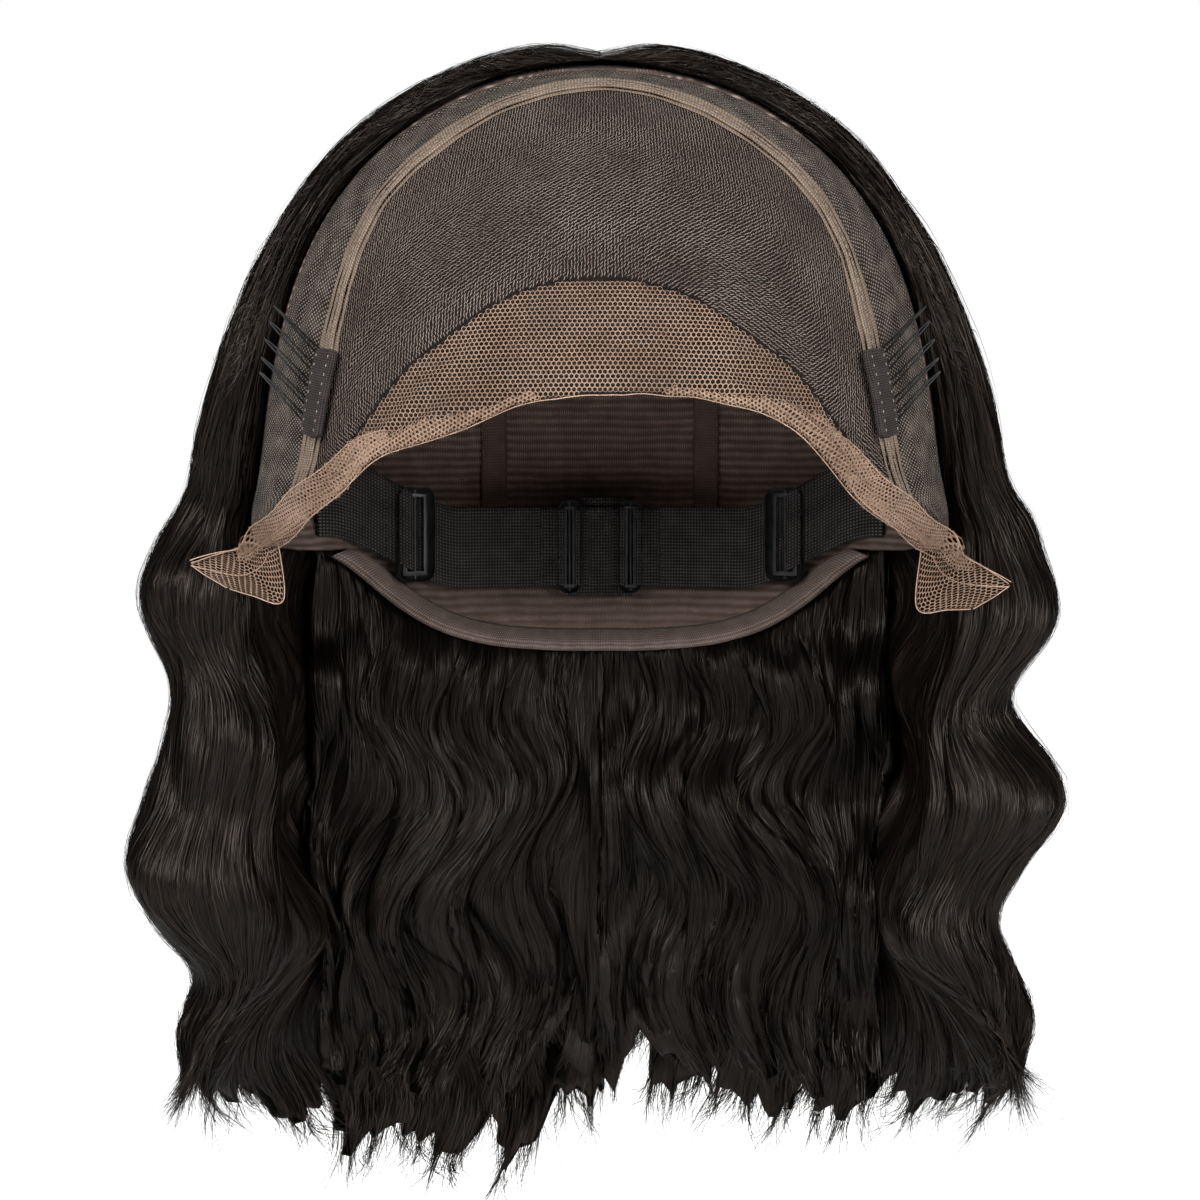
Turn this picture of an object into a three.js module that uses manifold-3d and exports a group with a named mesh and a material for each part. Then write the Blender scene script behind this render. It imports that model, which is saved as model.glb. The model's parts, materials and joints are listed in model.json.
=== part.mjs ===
// Lace front wig as a three.js scene graph. Millimetres, +Z up, the face side towards -Y.
// The origin is the inside of the cap at the top of the crown, where a head bears on it.
import * as THREE from 'three';
import { mergeVertices } from 'three/addons/utils/BufferGeometryUtils.js';
import Module from 'manifold-3d';

// Head form that the cap fits
const capHalfWidth = 97.5;
const crownRise = 120;        // crown above the level of the ears
const napeDrop = 72;          // where the form would close below that level
const frontDepth = 95;
const backDepth = 92;
const roundness = 2.2;        // power of the cross-section: 2 is an ellipse
const earFlare = 5;           // the ear tabs stand out from the form

// Cloth walls
const panelWall = 1.2;
const laceWall = 1;
const bandWall = 1.2;
const backWall = 1.5;
const hemWall = 2.3;
const pieceGap = 0.3;
const facetRoom = 0.75;       // room that the flat facets of two curved walls need

// Seams, tapes and hem
const seamWidth = 2.6;
const seamWall = 0.9;
const tapeSpacing = 68;       // between the middles of the two tapes
const tapeWidth = 8;
const tapeWall = 0.9;
const hemWidth = 8.5;
const hemGrow = 1.04;         // the hem's ring is this much longer round than the form's
const tapeTop = 74;           // degrees above the level of the ears where the tapes start
const tapeLow = -24;          // and where they end

// Free ends of the lace
const flapReach = 116;        // tip of each end from the middle of the wig
const flapDrop = 34;          // lowest corner below the level of the ears
const flapForward = 46;       // tip in front of the ears
const flapUneven = 6;         // the right flap hangs this much lower

// Elastic strap with its sliders and hooks
const strapHeight = 25;
const strapSpan = 1.764 * capHalfWidth; // between its two sewn ends
const strapWall = 1.1;
const strapDrop = 22;         // middle of the strap below the level of the ears
const strapRise = 17;         // its sewn ends lie this much higher
const strapRoom = 5;          // between the strap's lower edge and the wall behind it
const sewnRoom = 1.3;         // and at its ends, which are sewn to it
const sliderWidth = 11.6;
const sliderPlace = strapSpan / 3;
const hookWidth = 7.4;
const hookPlace = 9.6;
const frameHeight = 29.2;     // sliders and hooks alike
const frameBar = 1.6;
const frameWall = 1.5;
const frameCorner = 2.2;      // radius of its rounded corners
const tabWidth = 20;
const tabHeight = 31;
const tabWall = 0.8;

// Combs
const combLength = 29;
const coverWidth = 8;
const coverHeight = 2.8;
const coverCloth = 0.7;
const combMiddle = 71.5;      // degrees round the face
const coverForward = 1.5;     // degrees by which the cover lies in front of the seam
const wireWidth = 0.8;
const toothReach = 22;
const toothLoops = 5;
const toothLift = 6;          // tips stand this much above the band
const toothTilt = 11.5;       // tips lie this much nearer the crown than their roots
const legSpread = 0.075;      // half a loop's width as a share of half the comb
const spineShare = 0.93;      // the spine ends this short of the cover's ends
const toothShare = 0.8;       // and the outermost loops this short

// Hair
const hairFall = 230;         // longest tips below the level of the ears
const hairSwell = 38.5;       // widest wave outside the cap's outline
const hairRoof = 7.5;         // hair above the cap at the top
const partDip = 3;            // depth of the centre part
const lockHeight = 5;         // locks stand out from the hair between them
const locksPerSide = 7;
const napeLocks = 4;
const tipWall = 3;
const tipNotch = 0.04;        // tips between two locks end this share of hairFall higher
const rimRoom = 1.2;          // degrees between the band and the first hair
const partBack = 52;          // end of the centre part behind the middle of the cap
const backLag = 0.08;         // waves come this much lower at the back, as a share of hairFall
const sway = 5;               // the locks swing this far to each side as they fall
const swayTurns = 19;         // radians of that swing over hairFall
const napeStart = 28;         // degrees behind the ears where the inner layer of hair starts
const napeTop = 12;           // its roots below the level of the ears
const napeFall = 0.86;        // its tips as a share of hairFall
const napeWave = 4;
const napeWaveLength = 11;    // for each radian of the wave
const napeEase = 30;          // the waves grow over this height below the rim
const layerRoom = 3;          // between the two layers of hair

const degrees = Math.PI / 180;
const earLevel = -crownRise;

// Angles in degrees round the face opening. turn: 0 at the top of the face, 90 at the ears.
// The other columns run back from the middle of the face: 90 is the cap's widest ring.
const faceLines = [
  { turn: 0, freeLeft: 12, freeRight: 12, hairline: 28, seam: 68, rim: 77 },
  { turn: 12, freeLeft: 12.2, freeRight: 12.3, hairline: 28.1, seam: 65.5, rim: 76 },
  { turn: 24, freeLeft: 12.9, freeRight: 13.6, hairline: 28.8, seam: 62.5, rim: 76.5 },
  { turn: 36, freeLeft: 14.6, freeRight: 15.5, hairline: 30, seam: 61, rim: 79.5 },
  { turn: 46, freeLeft: 16.6, freeRight: 18.6, hairline: 31.8, seam: 58, rim: 81.5 },
  { turn: 56, freeLeft: 19, freeRight: 22.4, hairline: 35, seam: 54.8, rim: 79 },
  { turn: 66, freeLeft: 22.6, freeRight: 28.4, hairline: 38.4, seam: 53.4, rim: 76 },
  { turn: 75, freeLeft: 28.8, freeRight: 34, hairline: 42, seam: 53.6, rim: 75.5 },
  { turn: 83, freeLeft: 38.6, freeRight: 38.4, hairline: 47, seam: 54.4, rim: 78 },
  { turn: 89, freeLeft: 44, freeRight: 42.2, hairline: 52.6, seam: 56.4, rim: 80.5 },
  { turn: 92.5, freeLeft: 48, freeRight: 45, hairline: 57.6, seam: 58.2, rim: 82 },
  { turn: 96, freeLeft: 54, freeRight: 50, hairline: 67, seam: 67, rim: 84 },
  { turn: 98.5, freeLeft: 60, freeRight: 56.5, hairline: 75, seam: 75, rim: 85.5 },
  { turn: 101, freeLeft: 68, freeRight: 65, hairline: 82, seam: 82, rim: 87 },
];
const panelEnd = 92.5;

// Edge of the back wall, the same angles. From the ear tab it runs back, then down to the nape.
const neckline = [
  { turn: 101, edge: 87 },
  { turn: 103, edge: 104 },
  { turn: 106, edge: 118 },
  { turn: 110, edge: 122 },
  { turn: 115, edge: 124.2 },
  { turn: 122, edge: 125.6 },
  { turn: 133, edge: 127 },
  { turn: 146, edge: 129.2 },
  { turn: 160, edge: 131.4 },
  { turn: 180, edge: 132.4 },
];

// The flaps that end the lace: shares of flapReach, flapForward and flapDrop, for both edges.
const flapSections = [
  { topOut: 0.862, topFront: 0.5, topDown: 0.5, lowOut: 0.79, lowFront: 0.74, lowDown: 0.52 },
  { topOut: 0.9, topFront: 0.78, topDown: 0.55, lowOut: 0.775, lowFront: 0.86, lowDown: 0.98 },
  { topOut: 0.95, topFront: 0.9, topDown: 0.6, lowOut: 0.85, lowFront: 0.92, lowDown: 0.93 },
  { topOut: 1, topFront: 1, topDown: 0.66, lowOut: 0.91, lowFront: 0.98, lowDown: 0.86 },
];

// The waves. fall: share of hairFall. left, right: share of hairSwell by which the hair stands
// outside the cap. forward: degrees by which its front edge comes round in front of the ears.
// side, back: share of hairSwell by which its inner face stands outside the cap.
const waves = [
  { fall: 0, left: 0.52, right: 0.5, forward: 7.6, side: 0.11, back: 0.09 },
  { fall: 0.06, left: 0.72, right: 0.74, forward: 8, side: 0.14, back: 0.15 },
  { fall: 0.15, left: 0.88, right: 0.88, forward: 9, side: 0.14, back: 0.22 },
  { fall: 0.27, left: 0.64, right: 0.54, forward: 13, side: 0.02, back: 0.22 },
  { fall: 0.38, left: 0.84, right: 0.93, forward: 15, side: -0.1, back: 0.22 },
  { fall: 0.47, left: 1, right: 0.64, forward: 16, side: -0.14, back: 0.22 },
  { fall: 0.54, left: 0.84, right: 0.44, forward: 16, side: -0.16, back: 0.2 },
  { fall: 0.62, left: 0.56, right: 0.62, forward: 15, side: -0.2, back: 0.16 },
  { fall: 0.7, left: 0.76, right: 0.84, forward: 13, side: -0.2, back: 0.14 },
  { fall: 0.8, left: 0.74, right: 0.78, forward: 11, side: -0.2, back: 0.12 },
  { fall: 1, left: 0.5, right: 0.5, forward: 8, side: -0.2, back: 0.1 },
];

// How far down the tips reach, as shares of hairFall, from the front edge round to the back.
const tips = [
  { round: 0, left: 0.74, right: 0.76 },
  { round: 0.15, left: 0.82, right: 0.82 },
  { round: 0.35, left: 0.91, right: 0.88 },
  { round: 0.6, left: 0.97, right: 0.94 },
  { round: 0.8, left: 1, right: 0.92 },
  { round: 1, left: 0.92, right: 0.85 },
];

// The slope of a column at one of its rows, level at a crest or a dip.
function rowSlope(table, key, column, row) {
  const secant = (from) => (table[from + 1][column] - table[from][column])
    / (table[from + 1][key] - table[from][key]);
  if (row === 0 || row === table.length - 1) return 0;
  const [before, after] = [secant(row - 1), secant(row)];
  return before * after > 0 ? 2 * before * after / (before + after) : 0;
}

// A value between the rows of a table, on a smooth curve that never passes its rows.
function between(table, key, column, at) {
  let row = 0;
  while (row < table.length - 2 && at > table[row + 1][key]) row += 1;
  const [low, high] = [table[row], table[row + 1]];
  const run = high[key] - low[key];
  const share = THREE.MathUtils.clamp((at - low[key]) / run, 0, 1);
  const [square, cube] = [share ** 2, share ** 3];
  return (2 * cube - 3 * square + 1) * low[column]
    + (cube - 2 * square + share) * run * rowSlope(table, key, column, row)
    + (3 * square - 2 * cube) * high[column]
    + (cube - square) * run * rowSlope(table, key, column, row + 1);
}

// The form: 1 on its surface, under 1 inside.
function formValue(p) {
  const rise = p.z - earLevel;
  const across = Math.abs(p.x) / capHalfWidth;
  const up = Math.abs(rise) / (rise > 0 ? crownRise : napeDrop);
  const ring = (across ** roundness + up ** roundness) ** (2 / roundness);
  return ring + (p.y / (p.y < 0 ? frontDepth : backDepth)) ** 2;
}

function formNormal(p) {
  const step = 0.01;
  const slope = (axis) => {
    const ahead = p.clone();
    const behind = p.clone();
    ahead[axis] += step;
    behind[axis] -= step;
    return formValue(ahead) - formValue(behind);
  };
  return new THREE.Vector3(slope('x'), slope('y'), slope('z')).normalize();
}

// Where a line from a point inside the form leaves it.
function leaveForm(from, direction) {
  let near = 0;
  let far = 2 * (crownRise + backDepth);
  for (let pass = 0; pass < 40; pass += 1) {
    const middle = (near + far) / 2;
    if (formValue(from.clone().addScaledVector(direction, middle)) < 1) near = middle;
    else far = middle;
  }
  return from.clone().addScaledVector(direction, near);
}

// A point of the cap by its two angles, standing off the form by offset.
function capPoint(turn, back, offset) {
  const direction = new THREE.Vector3(
    Math.sin(turn * degrees) * Math.sin(back * degrees),
    0,
    Math.cos(turn * degrees) * Math.sin(back * degrees),
  );
  const depth = back < 90 ? frontDepth : backDepth;
  const half = direction.z < 0 ? napeDrop : crownRise;
  const size = ((Math.abs(Math.sin(turn * degrees)) / capHalfWidth) ** roundness
    + (Math.abs(Math.cos(turn * degrees)) / half) ** roundness) ** (-1 / roundness);
  const p = direction.multiplyScalar(size);
  p.y = -depth * Math.cos(back * degrees);
  p.z += earLevel;
  const isPole = Math.hypot(p.x, p.z - earLevel) < 0.01;
  const normal = isPole ? new THREE.Vector3(0, Math.sign(p.y), 0) : formNormal(p);
  p.addScaledVector(normal, offset);
  const tabShare = Math.exp(-(((Math.abs(turn) - 100) / 9) ** 2) - ((back - 78) / 20) ** 2);
  p.x += Math.sign(turn) * earFlare * tabShare;
  return p;
}

// A closed wall. at(u, v, side) gives its points: u and v are the numbers of a column and a
// row, side is 0 for one face and 1 for the other. A ring joins its last column to its first,
// and a ring's last row may be a single point.
function wall(columns, rows, at, { ring = false, pole = false } = {}) {
  const points = [];
  const index = new Map();
  const vertex = (u, v, side) => {
    const column = ring ? u % columns : u;
    const key = pole && v === rows ? `pole ${side}` : `${column} ${v} ${side}`;
    if (!index.has(key)) {
      index.set(key, points.length / 3);
      points.push(...at(column, v, side).toArray());
    }
    return index.get(key);
  };
  const faces = [];
  const quad = (a, b, c, d) => {
    if (a !== b && b !== c && c !== a) faces.push(a, b, c);
    if (a !== c && c !== d && d !== a) faces.push(a, c, d);
  };
  for (let u = 0; u < columns; u += 1) {
    for (let v = 0; v < rows; v += 1) {
      quad(vertex(u, v, 1), vertex(u + 1, v, 1), vertex(u + 1, v + 1, 1), vertex(u, v + 1, 1));
      quad(vertex(u, v, 0), vertex(u, v + 1, 0), vertex(u + 1, v + 1, 0), vertex(u + 1, v, 0));
    }
    quad(vertex(u, 0, 0), vertex(u + 1, 0, 0), vertex(u + 1, 0, 1), vertex(u, 0, 1));
    if (!pole) {
      const end = [vertex(u, rows, 0), vertex(u, rows, 1)];
      quad(end[0], end[1], vertex(u + 1, rows, 1), vertex(u + 1, rows, 0));
    }
  }
  for (let v = 0; v < rows && !ring; v += 1) {
    quad(vertex(0, v, 0), vertex(0, v, 1), vertex(0, v + 1, 1), vertex(0, v + 1, 0));
    const low = [vertex(columns, v, 0), vertex(columns, v, 1)];
    quad(low[0], vertex(columns, v + 1, 0), vertex(columns, v + 1, 1), low[1]);
  }
  return facingOut(points, faces);
}

function facingOut(points, faces) {
  let volume = 0;
  const corner = (number) => new THREE.Vector3().fromArray(points, 3 * number);
  for (let face = 0; face < faces.length; face += 3) {
    const [a, b, c] = [corner(faces[face]), corner(faces[face + 1]), corner(faces[face + 2])];
    volume += a.dot(b.cross(c));
  }
  if (volume < 0) faces.reverse();
  const geometry = new THREE.BufferGeometry();
  geometry.setAttribute('position', new THREE.Float32BufferAttribute(points, 3));
  geometry.setIndex(faces);
  return geometry;
}

const wasm = await Module();
wasm.setup();

function solidOf(geometry) {
  geometry.deleteAttribute('normal');
  geometry.deleteAttribute('uv');
  const merged = mergeVertices(geometry, 1e-4);
  return new wasm.Manifold(new wasm.Mesh({
    numProp: 3,
    vertProperties: new Float32Array(merged.attributes.position.array),
    triVerts: new Uint32Array(merged.index.array),
  }));
}

function geometryOf(solid) {
  const { vertProperties, triVerts } = solid.getMesh();
  const geometry = new THREE.BufferGeometry();
  geometry.setAttribute('position', new THREE.Float32BufferAttribute(vertProperties, 3));
  geometry.setIndex(new THREE.BufferAttribute(triVerts, 1));
  return geometry;
}

const wig = new THREE.Group();

function addPiece(name, geometry, color, roughness, metalness = 0) {
  geometry.computeVertexNormals();
  const mesh = new THREE.Mesh(
    geometry,
    new THREE.MeshStandardMaterial({ color, roughness, metalness }),
  );
  mesh.name = name;
  wig.add(mesh);
}

const laceTan = 0xb0937c;
const meshBrown = 0x4a403a;
const bandKhaki = 0x8a7c6e;
const wallBrown = 0x2c2422;
const hemBrown = 0x4a3f3c;
const strapBlack = 0x1d1d1e;
const wireBlack = 0x2c2e2f;
const coverGrey = 0x4a4243;
const hairBlack = 0x17110f;

// Front: the columns of every wall round the face share these turns.
const frontTurns = [];
for (let row = 0; row < faceLines.length - 1; row += 1) {
  const steps = faceLines[row + 1].turn - faceLines[row].turn > 9 ? 2 : 1;
  for (let step = 0; step < steps; step += 1) {
    const share = step / steps;
    frontTurns.push(THREE.MathUtils.lerp(faceLines[row].turn, faceLines[row + 1].turn, share));
  }
}
frontTurns.push(faceLines[faceLines.length - 1].turn);

function bothSides(turns) {
  return [...turns.slice(1).reverse().map((turn) => -turn), ...turns];
}

function faceLine(column, turn) {
  return between(faceLines, 'turn', column, Math.abs(turn));
}

function freeLine(turn) {
  return faceLine(turn < 0 ? 'freeLeft' : 'freeRight', turn);
}

const halfGap = pieceGap / 2 / frontDepth / degrees;

// A wall of the cap between two of its lines.
function capWall(turns, rows, fromLine, toLine, inside, outside) {
  return wall(turns.length - 1, rows, (u, v, side) => {
    const turn = turns[u];
    const back = THREE.MathUtils.lerp(fromLine(turn), toLine(turn), v / rows);
    return capPoint(turn, back, side ? outside : inside);
  });
}

function buildFrontPanel() {
  const turns = bothSides(frontTurns.filter((turn) => turn <= panelEnd));
  const from = (turn) => faceLine('hairline', turn) + halfGap;
  const to = (turn) => faceLine('seam', turn) - halfGap;
  addPiece('lace_front_panel', capWall(turns, 3, from, to, 0, panelWall), meshBrown, 0.95);
}

function buildBand() {
  const turns = bothSides(frontTurns);
  const from = (turn) => faceLine('seam', turn) + halfGap;
  const to = (turn) => faceLine('rim', turn) - halfGap;
  addPiece('ear_to_ear_band', capWall(turns, 3, from, to, 0, bandWall), bandKhaki, 0.95);
}

function buildFrontSeam() {
  const turns = bothSides(frontTurns.filter((turn) => turn <= panelEnd));
  const half = seamWidth / 2 / frontDepth / degrees;
  const from = (turn) => faceLine('seam', turn) - half;
  const to = (turn) => faceLine('seam', turn) + half;
  const under = panelWall + pieceGap;
  addPiece('front_seam', capWall(turns, 1, from, to, under, under + seamWall), laceTan, 0.9);
}

// The free lace: a strip round the face that leaves the cap at both ends as a twisted flap.
function flapEdge(row, side, edge) {
  const section = flapSections[row];
  const lower = flapUneven * row / (flapSections.length - 1);
  return new THREE.Vector3(
    side * flapReach * section[`${edge}Out`],
    -flapForward * section[`${edge}Front`],
    earLevel - flapDrop * section[`${edge}Down`] - (side > 0 ? lower : 0),
  );
}

function buildLaceEdge() {
  const turns = bothSides(frontTurns);
  const ends = flapSections.length;
  const rows = 2;
  const columns = turns.length - 1 + 2 * ends;
  const edgePoint = (u, edge) => {
    const inner = u - ends;
    if (inner < 0) return flapEdge(-inner - 1, -1, edge);
    if (inner >= turns.length) return flapEdge(inner - turns.length, 1, edge);
    const turn = turns[inner];
    const back = edge === 'top' ? faceLine('hairline', turn) - halfGap : freeLine(turn);
    return capPoint(turn, back, 0);
  };
  const at = (u, v, side) => {
    const inner = u - ends;
    const offset = side ? laceWall : 0;
    if (inner >= 0 && inner < turns.length) {
      const turn = turns[inner];
      const top = faceLine('hairline', turn) - halfGap;
      return capPoint(turn, THREE.MathUtils.lerp(top, freeLine(turn), v / rows), offset);
    }
    const p = edgePoint(u, 'top').lerp(edgePoint(u, 'low'), v / rows);
    p.y -= offset;
    return p;
  };
  addPiece('lace_edge', wall(columns, rows, at), laceTan, 0.9);
}

// Back: one wall from the band round to the nape, closed at its middle.
const neckTurns = [101, 103, 106, 110, 115, 122, 131, 141, 151, 161, 171];

function neckEdge(turn) {
  if (Math.abs(turn) < neckTurns[0]) return faceLine('rim', turn);
  return between(neckline, 'turn', 'edge', Math.abs(turn));
}

function hemShare(turn) {
  const start = neckTurns[0];
  return THREE.MathUtils.clamp((Math.abs(turn) - start) / 5, 0, 1) * hemWidth / backDepth / degrees;
}

function buildBackWall() {
  const half = [...frontTurns.slice(0, -1), ...neckTurns];
  const turns = [...half, 180, ...half.slice(1).reverse().map((turn) => -turn)];
  const rows = 8;
  const at = (u, v, side) => {
    const turn = turns[u];
    const edge = neckEdge(turn) + halfGap + hemShare(turn) * hemGrow;
    return capPoint(turn, THREE.MathUtils.lerp(edge, 180, v / rows), side ? backWall : 0);
  };
  addPiece('back_wall', wall(turns.length, rows, at, { ring: true, pole: true }), wallBrown, 0.95);
}

function buildHem() {
  const turns = [...neckTurns.slice(2), 180, ...neckTurns.slice(2).reverse().map((t) => 360 - t)];
  const signed = (turn) => (turn > 180 ? turn - 360 : turn);
  const at = (u, v, side) => {
    const turn = signed(turns[u]);
    const from = neckEdge(turn);
    const to = from + hemShare(turn) * hemGrow - halfGap;
    return capPoint(turn, THREE.MathUtils.lerp(from, to, v), side ? backWall : backWall - hemWall);
  };
  addPiece('nape_hem', wall(turns.length - 1, 1, at), hemBrown, 0.9);
}

// Tapes sewn over the two seams inside the back wall, from the crown to the hem.
function buildTapes() {
  const rows = 12;
  for (const [side, name] of [[-1, 'seam_tape_left'], [1, 'seam_tape_right']]) {
    const at = (u, v, face) => {
      const x = side * tapeSpacing / 2 + (u - 0.5) * tapeWidth;
      const angle = THREE.MathUtils.lerp(tapeTop, tapeLow, v / rows) * degrees;
      const direction = new THREE.Vector3(0, Math.cos(angle), Math.sin(angle));
      const p = leaveForm(new THREE.Vector3(x, 0, earLevel), direction);
      const inside = pieceGap + facetRoom;
      return p.addScaledVector(formNormal(p), face ? -inside : -inside - tapeWall);
    };
    addPiece(name, wall(1, rows, at), wallBrown, 0.9);
  }
}

// The strap follows the back wall inside the cap at one clearance from its lower edge.
function strapMiddle(x) {
  const share = THREE.MathUtils.smoothstep(Math.abs(x), 0.5 * strapSpan / 2, strapSpan / 2);
  return earLevel - strapDrop + strapRise * share;
}

function strapDepth(x) {
  const lowEdge = new THREE.Vector3(x, 0, strapMiddle(x) - strapHeight / 2);
  const p = leaveForm(lowEdge, new THREE.Vector3(0, 1, 0));
  const share = THREE.MathUtils.smoothstep(Math.abs(x), sliderPlace, strapSpan / 2);
  return p.y - THREE.MathUtils.lerp(strapRoom, sewnRoom, share) / formNormal(p).y;
}

function ribbon(from, to, steps, height, thickness, behind) {
  return wall(steps, 1, (u, v, side) => {
    const x = THREE.MathUtils.lerp(from, to, u / steps);
    const slope = (strapDepth(x + 1) - strapDepth(x - 1)) / 2;
    const across = new THREE.Vector3(-slope, 1, 0).normalize();
    const z = strapMiddle(x) + (v - 0.5) * height;
    const depth = behind + (side ? thickness : 0);
    return new THREE.Vector3(x, strapDepth(x), z).addScaledVector(across, depth - thickness);
  });
}

// A flat wire frame in front of the strap, with a bar down its middle where it is a slider.
function strapFrame(place, width, hasMiddleBar) {
  const outline = new THREE.Shape();
  const round = frameCorner;
  const [right, top] = [width / 2, frameHeight / 2];
  outline.moveTo(-right + round, -top);
  outline.lineTo(right - round, -top);
  outline.quadraticCurveTo(right, -top, right, -top + round);
  outline.lineTo(right, top - round);
  outline.quadraticCurveTo(right, top, right - round, top);
  outline.lineTo(-right + round, top);
  outline.quadraticCurveTo(-right, top, -right, top - round);
  outline.lineTo(-right, -top + round);
  outline.quadraticCurveTo(-right, -top, -right + round, -top);
  const hole = new THREE.Path();
  hole.moveTo(-right + frameBar, -top + frameBar);
  hole.lineTo(-right + frameBar, top - frameBar);
  hole.lineTo(right - frameBar, top - frameBar);
  hole.lineTo(right - frameBar, -top + frameBar);
  outline.holes.push(hole);
  const settings = { depth: frameWall, bevelEnabled: false, curveSegments: 3 };
  let frame = solidOf(new THREE.ExtrudeGeometry(outline, settings));
  if (hasMiddleBar) {
    const bar = new THREE.BoxGeometry(frameBar, frameHeight - frameBar, frameWall);
    frame = frame.add(solidOf(bar.translate(0, 0, frameWall / 2)));
  }
  const geometry = geometryOf(frame);
  geometry.rotateX(Math.PI / 2);
  const slope = (strapDepth(place + width / 2) - strapDepth(place - width / 2)) / width;
  geometry.rotateZ(Math.atan(slope));
  const bow = Math.abs(slope) * facetRoom + strapWall + pieceGap;
  return geometry.translate(place, strapDepth(place) - bow, strapMiddle(place));
}

function buildStrap() {
  const end = strapSpan / 2;
  const join = pieceGap / 2;
  const pieces = [
    { name: 'elastic_end_left', from: -end, to: -sliderPlace - join, steps: 5 },
    { name: 'strap_left', from: -sliderPlace + join, to: -hookPlace - join, steps: 6 },
    { name: 'strap_middle', from: -hookPlace + join, to: hookPlace - join, steps: 3 },
    { name: 'strap_right', from: hookPlace + join, to: sliderPlace - join, steps: 6 },
    { name: 'elastic_end_right', from: sliderPlace + join, to: end, steps: 5 },
  ];
  for (const { name, from, to, steps } of pieces) {
    addPiece(name, ribbon(from, to, steps, strapHeight, strapWall, 0), strapBlack, 0.85);
  }
  for (const [side, word] of [[-1, 'left'], [1, 'right']]) {
    const slider = strapFrame(side * sliderPlace, sliderWidth, true);
    const hook = strapFrame(side * hookPlace, hookWidth, false);
    addPiece(`slider_${word}`, slider, strapBlack, 0.35);
    addPiece(`hook_${word}`, hook, strapBlack, 0.35);
  }
  const behind = tabWall + pieceGap;
  const tab = ribbon(-tabWidth / 2, tabWidth / 2, 3, tabHeight, tabWall, behind);
  addPiece('strap_tab', tab, strapBlack, 0.9);
}

// A comb lies along the front seam. along: -1 to 1 from its upper end to its lower one.
function combFrame(side, along) {
  const half = combLength / 2 / capHalfWidth / degrees;
  const turn = side * (combMiddle + along * half);
  const seat = panelWall + 2 * pieceGap + seamWall;
  const line = (at) => faceLine('seam', at) - coverForward;
  const origin = capPoint(turn, line(turn), seat);
  const lengthwise = capPoint(turn + side, line(turn + side), seat).sub(origin).normalize();
  const base = capPoint(turn, line(turn), 0);
  const up = origin.clone().sub(base).normalize();
  const outward = new THREE.Vector3().crossVectors(lengthwise, up).normalize();
  if (outward.y < 0) outward.negate();
  return { origin, lengthwise, up, outward };
}

// Cloth cover, a channel whose open side lets the teeth out.
function coverGeometry(side) {
  const steps = 6;
  const half = coverWidth / 2;
  const cloth = coverCloth;
  const section = [
    [half, 0], [-half, 0], [-half, coverHeight], [half, coverHeight],
    [half, coverHeight - cloth], [-half + cloth, coverHeight - cloth],
    [-half + cloth, cloth], [half, cloth],
  ];
  const points = [];
  const faces = [];
  const count = section.length;
  for (let step = 0; step <= steps; step += 1) {
    const { origin, up, outward } = combFrame(side, 2 * step / steps - 1);
    for (const [out, high] of section) {
      const p = origin.clone().addScaledVector(outward, out).addScaledVector(up, high);
      points.push(...p.toArray());
    }
  }
  for (let step = 0; step < steps; step += 1) {
    for (let corner = 0; corner < count; corner += 1) {
      const next = (corner + 1) % count;
      const [a, b] = [step * count + corner, step * count + next];
      faces.push(a, b, b + count, a, b + count, a + count);
    }
  }
  const flat = section.map(([out, high]) => new THREE.Vector2(out, high));
  for (const [a, b, c] of THREE.ShapeUtils.triangulateShape(flat, [])) {
    const last = steps * count;
    const turned = THREE.ShapeUtils.isClockWise(flat);
    if (turned) faces.push(a, b, c, last + c, last + b, last + a);
    else faces.push(c, b, a, last + a, last + b, last + c);
  }
  return facingOut(points, faces);
}

function tube(points, steps) {
  const circle = new THREE.Shape();
  const sides = 4;
  for (let corner = 0; corner < sides; corner += 1) {
    const angle = (corner / sides) * 2 * Math.PI;
    const [x, y] = [Math.cos(angle) * wireWidth / 2, Math.sin(angle) * wireWidth / 2];
    if (corner === 0) circle.moveTo(x, y);
    else circle.lineTo(x, y);
  }
  const path = new THREE.CatmullRomCurve3(points, false, 'centripetal');
  return new THREE.ExtrudeGeometry(circle, { steps, bevelEnabled: false, extrudePath: path });
}

// One wire bent into loops on a spine that lies in the cover.
function combWire(side) {
  const spineHigh = coverHeight / 2;
  const place = (along, out, lift, shift) => {
    const { origin, lengthwise, up, outward } = combFrame(side, along);
    return origin.addScaledVector(outward, out).addScaledVector(up, spineHigh + lift)
      .addScaledVector(lengthwise, -shift);
  };
  const spine = [-1, -0.5, 0, 0.5, 1].map((share) => share * spineShare);
  let comb = solidOf(tube(spine.map((along) => place(along, 0, 0, 0)), 4));
  for (let loop = 0; loop < toothLoops; loop += 1) {
    const along = THREE.MathUtils.lerp(-toothShare, toothShare, loop / (toothLoops - 1));
    const leg = (sign) => [
      place(along + sign * legSpread, 0, 0, 0),
      place(along + sign * legSpread, toothReach * 0.3, 0, toothTilt * 0.2),
      place(along + sign * legSpread * 0.7, toothReach * 0.7, toothLift * 0.5, toothTilt * 0.65),
      place(along + sign * legSpread * 0.35, toothReach * 0.97, toothLift * 0.93, toothTilt * 0.97),
    ];
    const tip = place(along, toothReach, toothLift, toothTilt);
    const tooth = tube([...leg(-1), tip, ...leg(1).reverse()], 8);
    comb = comb.add(solidOf(tooth));
  }
  return geometryOf(comb);
}

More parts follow.
